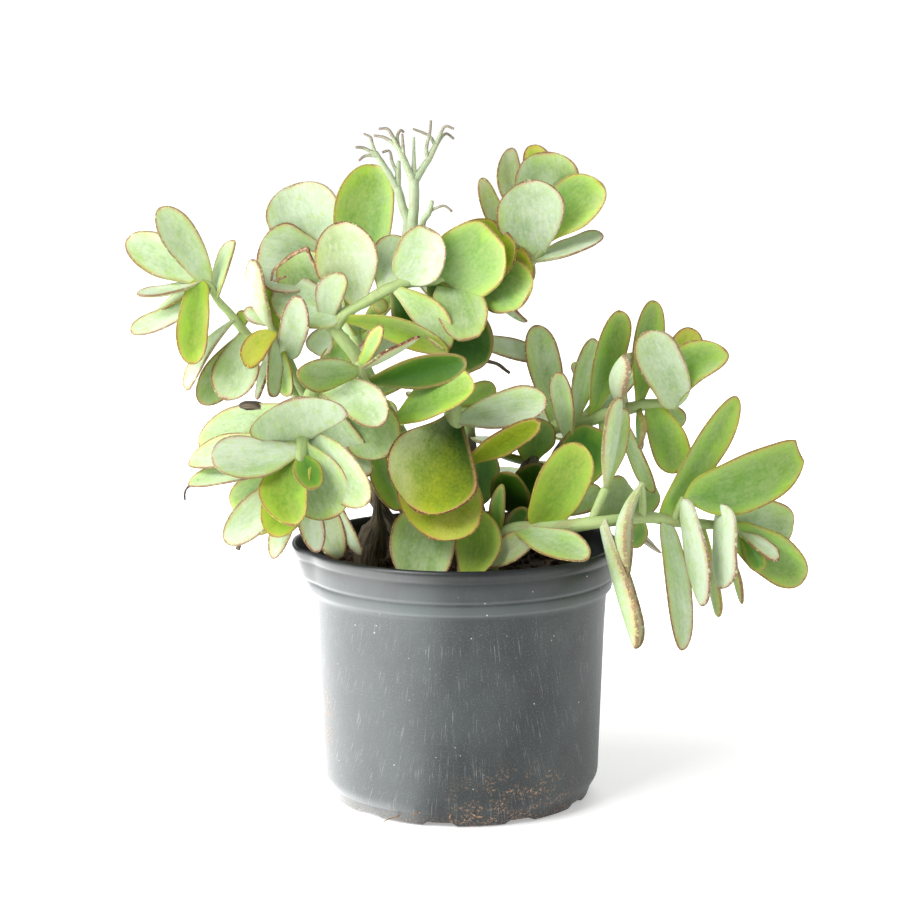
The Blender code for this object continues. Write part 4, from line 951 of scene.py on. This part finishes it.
def grow_front_shoot(name, stems, leaves, twigs, seed, materials, settings):
    """One shoot that was laid out from the front: its stems, twigs and leaves as one mesh."""
    body = Body()
    rng = np.random.default_rng(seed)
    real, flat = [], []
    for k, stem in enumerate(stems):
        rows = seen_rows(stem, STEM_STEPS)
        rows[:, 3] *= SLIM.get(name, 1.0)
        scale = -EYE[1] / (rows[:, 1] - EYE[1])
        real.append(rows[:, :3])
        flat.append(EYE[[0, 2]] + (rows[:, [0, 2]] - EYE[[0, 2]]) * scale[:, None])
        full = rooted(rows) if k == 0 else rows
        add_stem(body, full, STEM_SIDES, 0.06, seed * 31 + k, bark_by_height(*LOW_BARK.get(name, BARK)), 1)
    real, flat = np.vstack(real), np.vstack(flat)
    for k, twig in enumerate(twigs):
        add_stem(body, seen_rows(twig, TWIG_STEPS), TWIG_SIDES, 0.15, seed * 17 + k, all_wood, 1)
    for tone, jx, jz, tx, tz, depth, width, face, *form in leaves:
        spot = np.argmin(np.hypot(flat[:, 0] - jx, flat[:, 1] - jz))
        add_leaf(body, real[spot], seen(tx, tz, depth), width, face, tone, rng.random(),
                 settings.leaf_thickness * 1000.0, **dict(zip(LEAF_FORM, form)))
    place_piece(body.make(name + "_leaves", materials), "leaf", name)


def grow_back_shoot(name, stem, pairs, seed, materials, settings):
    """A back shoot: opposite pairs of leaves, each pair turned across the one below."""
    body = Body()
    rng = np.random.default_rng(seed)
    rows = smooth_path(stem, STEM_STEPS)
    add_stem(body, rooted(rows), STEM_SIDES, 0.06, seed, bark_by_height(*BARK), 1)
    gone = lengths_along(rows[:, :3])
    for share, compass, rise, length, width in pairs:
        root = np.array([np.interp(share * gone[-1], gone, rows[:, k]) for k in range(3)])
        for half_turn in (0.0, 180.0):
            turn, lift = math.radians(compass + half_turn), math.radians(rise)
            out = np.array([math.cos(turn) * math.cos(lift), math.sin(turn) * math.cos(lift), math.sin(lift)])
            up = (-math.cos(turn) * math.sin(lift), -math.sin(turn) * math.sin(lift), math.cos(lift))
            tone = BACK_TONES[rng.integers(len(BACK_TONES))]
            add_leaf(body, root, root + out * length, width, up, tone, rng.random(),
                     settings.leaf_thickness * 1000.0, arch=BACK_ARCH, cup=BACK_CUP)
    place_piece(body.make(name + "_leaves", materials), "leaf", name)


def plant_materials(settings):
    """The leaf's and the stem's material, made once and then shared by all shoots."""
    makers = {"kalanchoe_leaf": leaf_finish, "kalanchoe_stem": stem_finish}
    return [bpy.data.materials.get(name) or make(settings) for name, make in makers.items()]


# The pot's outside (radius, height) from the bottom's centre to the lip, then its inside back to the floor
POT_OUTSIDE = [
    (0, 0), (40, 0), (70, 0), (77.5, 0), (79.0, 0.25), (79.7, 0.9), (80.1, 2.0), (81.5, 6.2), (81.9, 7.0),
    (82.0, 7.5), (82.6, 8.2), (83.6, 9.9), (84.8, 12.0), (85.5, 14.0), (85.8, 16.0), (86.0, 22.0),
    (86.9, 50.0), (87.9, 78.0), (88.9, 106.0), (90.1, 126.2), (90.3, 127.5), (91.0, 128.7), (92.6, 130.0),
    (93.3, 130.8), (93.6, 131.8), (93.9, 136.6), (93.5, 137.3), (93.6, 138.0), (94.5, 138.9),
    (95.2, 139.8), (95.6, 141.0), (96.0, 145.0), (96.5, 150.3), (96.3, 150.9), (96.8, 151.8),
    (97.4, 153.4), (97.5, 155.4), (97.2, 157.0), (96.5, 158.1), (95.8, 158.5),
]
POT_INSIDE = [
    (95.0, 158.2), (94.5, 157.2), (94.3, 154.5), (93.9, 149.0), (93.5, 142.0), (92.0, 138.9),
    (91.4, 134.0), (91.0, 131.6), (88.2, 127.0), (84.0, 15.0), (82.5, 10.0), (79.0, 2.2), (0, 2.2),
]


def pot_shape():
    """The profile turned round the axis. The heel is pressed up into drain notches, by a bump in the angle
    times one in the radius, and the thin rim is pulled out at the left. Returns points, rows, columns."""
    profile = np.array(POT_OUTSIDE + POT_INSIDE, float)
    fine = [profile[:1]]
    for a, b in zip(profile[:-1], profile[1:]):
        steps = max(1, int(np.linalg.norm(b - a) // 9.0))
        fine.append(a + (b - a) * (np.arange(1, steps + 1) / steps)[:, None])
    profile = np.vstack(fine)[1:-1]
    turn = ring_turns(POT_COLUMNS)
    degrees = np.degrees(turn)
    r, z = profile[:, :1], profile[:, 1:]
    spacing = 360.0 / DRAIN_NOTCHES
    off_centre = (degrees - NOTCH_FIRST_DEGREES + spacing / 2.0) % spacing - spacing / 2.0
    near = np.abs(off_centre) * np.pi / 180.0 * 79.0
    notch = np.clip((NOTCH_HALF_WIDTH - near) / 1.6, 0.0, 1.0)
    outside = np.arange(len(profile))[:, None] < len(POT_OUTSIDE) + 24
    radial = np.clip((r - 73.5) / 1.5, 0.0, 1.0) * (z < NOTCH_HEIGHT) * outside
    z = np.maximum(z, NOTCH_HEIGHT * notch * radial)
    pull = np.clip((degrees - 148.0) / 28.0, 0.0, 1.0) * np.clip((206.0 - degrees) / 13.0, 0.0, 1.0)
    pull = pull * pull * (3.0 - 2.0 * pull) * np.clip((z - 127.0) / 28.0, 0.0, 1.1)
    r = r + RIM_PULL * pull
    points = np.stack([r * np.cos(turn), r * np.sin(turn), z], -1).reshape(-1, 3)
    return points, len(profile), POT_COLUMNS


def colour_choice(name, what, hexed):
    return bpy.props.FloatVectorProperty(name=name, description="Colour of " + what, default=paint(hexed),
                                         subtype="COLOR", size=3)


class KALANCHOE_settings(bpy.types.PropertyGroup):
    leaf_thickness: bpy.props.FloatProperty(name="Leaf thickness", default=0.0038, unit="LENGTH",
                                            description="Thickness of a blade's middle")
    leaf_green: colour_choice("Leaf green", "the leaf's flesh", "4c8819")
    leaf_bloom: colour_choice("Leaf bloom", "the waxy bloom", "c4d3b6")
    leaf_margin: colour_choice("Leaf margin", "the corky margin", "7c4630")
    pot_colour: colour_choice("Pot colour", "the pot's plastic", "24292a")
    soil_colour: colour_choice("Soil colour", "the damp soil", "2a1e16")
    crumb_count: bpy.props.IntProperty(name="Soil crumbs", default=900, min=0,
                                       description="How many loose crumbs lie on the soil")


def floor_finish():
    """A pale floor that glows more the farther out it is, so that it meets the white world without an edge.
    The pool of light at the left is seen only in reflections, as the sheen on the pot, and the light that
    the floor throws on the plant is dimmed."""
    f = Finish("pale_floor", Base_Color=(0.9, 0.9, 0.9, 1.0), Roughness=0.9, Specular_IOR_Level=0.1,
               Emission_Strength=1.0)
    place = f.place()
    far = f.node("ShaderNodeVectorMath", {"operation": "LENGTH"}, "Value", Vector=place)
    glow = f.mix(far.step(0.12, 0.55), grey(FLOOR_GLOW_NEAR), grey(1.0))
    pool = (f.split(place)[0] / far).step(-0.16, -0.60)
    rays = f.tree.nodes.new("ShaderNodeLightPath")
    reflected = Wire(f.tree, rays.outputs["Is Glossy Ray"])
    seen_straight = Wire(f.tree, rays.outputs["Is Camera Ray"])
    glow = f.mix(pool * reflected, glow, grey(POOL_GLOW))
    glow = f.mix((1.0 - seen_straight) * (1.0 - reflected) * FLOOR_DIMMING, glow, grey(0.0))
    plug(f.tree, f.shader.inputs["Emission Color"], glow)
    return f.material


def studio_floor():
    square = ((-1, -1), (1, -1), (1, 1), (-1, 1))
    corners = [(x * FLOOR_REACH, y * FLOOR_REACH, -FLOOR_DROP) for x, y in square]
    mesh = bpy.data.meshes.new("floor")
    mesh.from_pydata(corners, [], [(0, 1, 2, 3)])
    mesh.materials.append(floor_finish())
    return bpy.data.objects.new("floor", mesh)


def studio_world():
    """White, and brighter to the camera than the light that it gives."""
    world = bpy.data.worlds.new("studio")
    world.use_nodes = True
    tree = world.node_tree
    back = tree.nodes["Background"]
    back.inputs["Color"].default_value = (1.0, 1.0, 1.0, 1.0)
    seen_by_camera = Wire(tree, tree.nodes.new("ShaderNodeLightPath").outputs["Is Camera Ray"])
    plug(tree, back.inputs["Strength"], seen_by_camera * WORLD_SHOWN + WORLD_LIGHT)
    return world


def area_light(name, place, aim, size, power):
    light = bpy.data.lights.new(name, "AREA")
    light.size = size
    light.energy = power
    lamp = bpy.data.objects.new(name, light)
    way = np.array(aim) - np.array(place)
    lamp.location = place
    lamp.rotation_euler = (math.atan2(math.hypot(way[0], way[1]), -way[2]), 0.0,
                           math.atan2(way[1], way[0]) - math.pi / 2.0)
    return lamp


def photo_camera():
    data = bpy.data.cameras.new("camera")
    data.sensor_width = SENSOR_MM
    data.lens = CAMERA_FOCUS * SENSOR_MM / PHOTO_PIXELS
    data.clip_start = 0.05
    camera = bpy.data.objects.new("camera", data)
    camera.location = [c * MM for c in EYE]
    camera.rotation_euler = (math.radians(CAMERA_TILT), 0.0, 0.0)
    return camera


class KALANCHOE_OT_stage(bpy.types.Operator):
    """Make the pale floor, the soft lights and the camera."""
    bl_idname = "kalanchoe.stage"
    bl_label = "Stage"

    def execute(self, context):
        scene = context.scene
        floor = studio_floor()
        scene.collection.objects.link(floor)
        scene.world = studio_world()
        for light in LIGHTS:
            scene.collection.objects.link(area_light(*light))
        scene.camera = photo_camera()
        scene.collection.objects.link(scene.camera)
        scene.view_settings.view_transform = "Standard"
        return {"FINISHED"}


class KALANCHOE_OT_pot(bpy.types.Operator):
    """Turn the nursery pot with its bands, rolled lip and drain notches."""
    bl_idname = "kalanchoe.pot"
    bl_label = "Pot"

    def execute(self, context):
        body = Body()
        body.add_plain(*pot_shape())
        pot = body.make("nursery_pot", [pot_finish(context.scene.kalanchoe)])
        pot.data.set_sharp_from_angle(angle=math.radians(50.0))
        place_piece(pot, "pot_plastic", "pot")
        return {"FINISHED"}


class KALANCHOE_OT_soil(bpy.types.Operator):
    """Cover the soil with a crumbly crust and loose crumbs."""
    bl_idname = "kalanchoe.soil"
    bl_label = "Soil"

    def execute(self, context):
        settings = context.scene.kalanchoe
        finish = soil_finish(settings)
        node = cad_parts["soil"]
        node.data.materials.clear()
        node.data.materials.append(finish)
        rng = np.random.default_rng(SOIL_SEED)
        crust = Body()
        crust.add_plain(*crust_shape(rng))
        place_piece(crust.make("soil_crust", [finish]), "soil")
        crumbs = Body()
        for _ in range(settings.crumb_count):
            crumbs.add_plain(crumb_shape(rng), len(CRUMB_RINGS), CRUMB_SIDES)
        place_piece(crumbs.make("soil_crumbs", [finish]), "soil")
        return {"FINISHED"}


def crust_shape(rng):
    """A flat cake whose top is a sum of random waves: its rings run from the middle of the underside out,
    round the skirt, and in again over the top. Returns points, rows, columns."""
    r = np.linspace(0.0, 1.0, CRUST_RINGS)[:, None] * CRUST_RADIUS
    turn = ring_turns(CRUST_COLUMNS)
    x, y = r * np.cos(turn), r * np.sin(turn)
    z = SOIL_LEVEL + 1.4 + 0.0 * x
    for _ in range(CRUST_WAVES):
        a, b = rng.normal(0.0, 1.0, 2) * rng.choice([0.06, 0.2, 0.6])
        size = 0.55 / (1.0 + 3.0 * math.hypot(a, b))
        z = z + size * np.sin(a * x + b * y + rng.uniform(0.0, 6.28))
    z = np.maximum(z, SOIL_LEVEL + 0.9)
    top = np.stack([x, y, z], -1)
    skirt = top[-1:].copy()
    skirt[..., 2] = SOIL_LEVEL - 1.4
    under = top[::-1].copy()[10::12]
    under[..., 2] = SOIL_LEVEL - 1.6
    shell = np.vstack([top[1:], skirt, under])[::-1]
    return shell.reshape(-1, 3), len(shell), CRUST_COLUMNS


def crumb_shape(rng):
    """A small lumpy grain somewhere on the soil: rings on a squashed ball, each point pushed in or out."""
    far = CRUMB_REACH * math.sqrt(rng.random())
    way = rng.uniform(0.0, 2.0 * math.pi)
    size = rng.uniform(0.5, 1.0) ** 3 * 3.0 + 0.4
    up = np.array(CRUMB_RINGS)[:, None]
    turn = ring_turns(CRUMB_SIDES)
    flat = np.sqrt(1.0 - up ** 2)
    push = rng.uniform(0.65, 1.25, (len(CRUMB_RINGS), CRUMB_SIDES))
    stretch = rng.uniform(0.6, 1.3, 3) * size
    lobes = np.stack([stretch[0] * flat * np.cos(turn) * push, stretch[1] * flat * np.sin(turn) * push,
                      stretch[2] * 0.8 * up * push], -1).reshape(-1, 3)
    return lobes + (far * math.cos(way), far * math.sin(way), SOIL_LEVEL + 1.7 + size * 0.2)


class KALANCHOE_OT_front_shoots(bpy.types.Operator):
    """Grow the shoots that were laid out from the front."""
    bl_idname = "kalanchoe.front_shoots"
    bl_label = "Front shoots"

    def execute(self, context):
        settings = context.scene.kalanchoe
        materials = plant_materials(settings)
        for seed, (name, (stems, leaves, twigs)) in enumerate(FRONT_SHOOTS.items(), FRONT_SEED):
            grow_front_shoot(name, stems, leaves, twigs, seed, materials, settings)
        return {"FINISHED"}


class KALANCHOE_OT_back_shoots(bpy.types.Operator):
    """Grow the shoots behind, with opposite pairs of leaves."""
    bl_idname = "kalanchoe.back_shoots"
    bl_label = "Back shoots"

    def execute(self, context):
        settings = context.scene.kalanchoe
        materials = plant_materials(settings)
        for seed, (name, (stem, pairs)) in enumerate(BACK_SHOOTS.items(), BACK_SEED):
            grow_back_shoot(name, stem, pairs, seed, materials, settings)
        return {"FINISHED"}


class KALANCHOE_OT_flower_stalks(bpy.types.Operator):
    """Raise the dry forked flower stalks with their curled ends."""
    bl_idname = "kalanchoe.flower_stalks"
    bl_label = "Dry flower stalks"

    def execute(self, context):
        body = Body()
        for k, stalk in enumerate(FLOWER_STALKS):
            rows = seen_rows(stalk, STEM_STEPS) * STALK_SWELL
            add_stem(body, rows, STALK_SIDES, 0.07, STALK_SEED + k, stalk_browning, 0)
        for k, curl in enumerate(FLOWER_CURLS):
            rows = seen_rows(curl, STEM_STEPS) * STALK_SWELL
            add_stem(body, rows, TWIG_SIDES, 0.10, CURL_SEED + k, curl_browning, 0)
        stalks = body.make("dry_flower_stalks", [stalk_finish()])
        place_piece(stalks, "leaf", "shoot_crown")
        return {"FINISHED"}


class KALANCHOE_OT_dry_bits(bpy.types.Operator):
    """Lay the withered leaf remnant in the crown and the fine roots at the drain notches."""
    bl_idname = "kalanchoe.dry_bits"
    bl_label = "Dry bits"

    def execute(self, context):
        finish = dry_skin_finish()
        for name, bits, slot in (("crown_remnant", CROWN_REMNANT, "leaf"),
                                 ("foot_roots", FOOT_ROOTS, "soil")):
            body = Body()
            for k, bit in enumerate(bits):
                rows = seen_rows(bit, TWIG_STEPS)
                add_stem(body, rows, DRY_BIT_SIDES, 0.18, DRY_BIT_SEED + k, all_wood, 0)
            place_piece(body.make(name, [finish]), slot)
        return {"FINISHED"}


class KALANCHOE_PT_panel(bpy.types.Panel):
    bl_label = "Potted kalanchoe"
    bl_idname = "KALANCHOE_PT_panel"
    bl_space_type = "VIEW_3D"
    bl_region_type = "UI"
    bl_category = "Kalanchoe"

    def draw(self, context):
        settings = context.scene.kalanchoe
        for key in settings.__annotations__:
            self.layout.prop(settings, key)
        for operator in OPERATORS:
            self.layout.operator(operator.bl_idname)


OPERATORS = (KALANCHOE_OT_stage, KALANCHOE_OT_pot, KALANCHOE_OT_soil, KALANCHOE_OT_front_shoots,
             KALANCHOE_OT_back_shoots, KALANCHOE_OT_flower_stalks, KALANCHOE_OT_dry_bits)


def register():
    for cls in (KALANCHOE_settings, *OPERATORS, KALANCHOE_PT_panel):
        bpy.utils.register_class(cls)
    bpy.types.Scene.kalanchoe = bpy.props.PointerProperty(type=KALANCHOE_settings)


def unregister():
    del bpy.types.Scene.kalanchoe
    for cls in (KALANCHOE_PT_panel, *reversed(OPERATORS), KALANCHOE_settings):
        bpy.utils.unregister_class(cls)


def main():
    register()
    bpy.ops.kalanchoe.stage()
    bpy.ops.kalanchoe.pot()
    bpy.ops.kalanchoe.soil()
    bpy.ops.kalanchoe.front_shoots()
    bpy.ops.kalanchoe.back_shoots()
    bpy.ops.kalanchoe.flower_stalks()
    bpy.ops.kalanchoe.dry_bits()


if __name__ == "__main__":
    main()
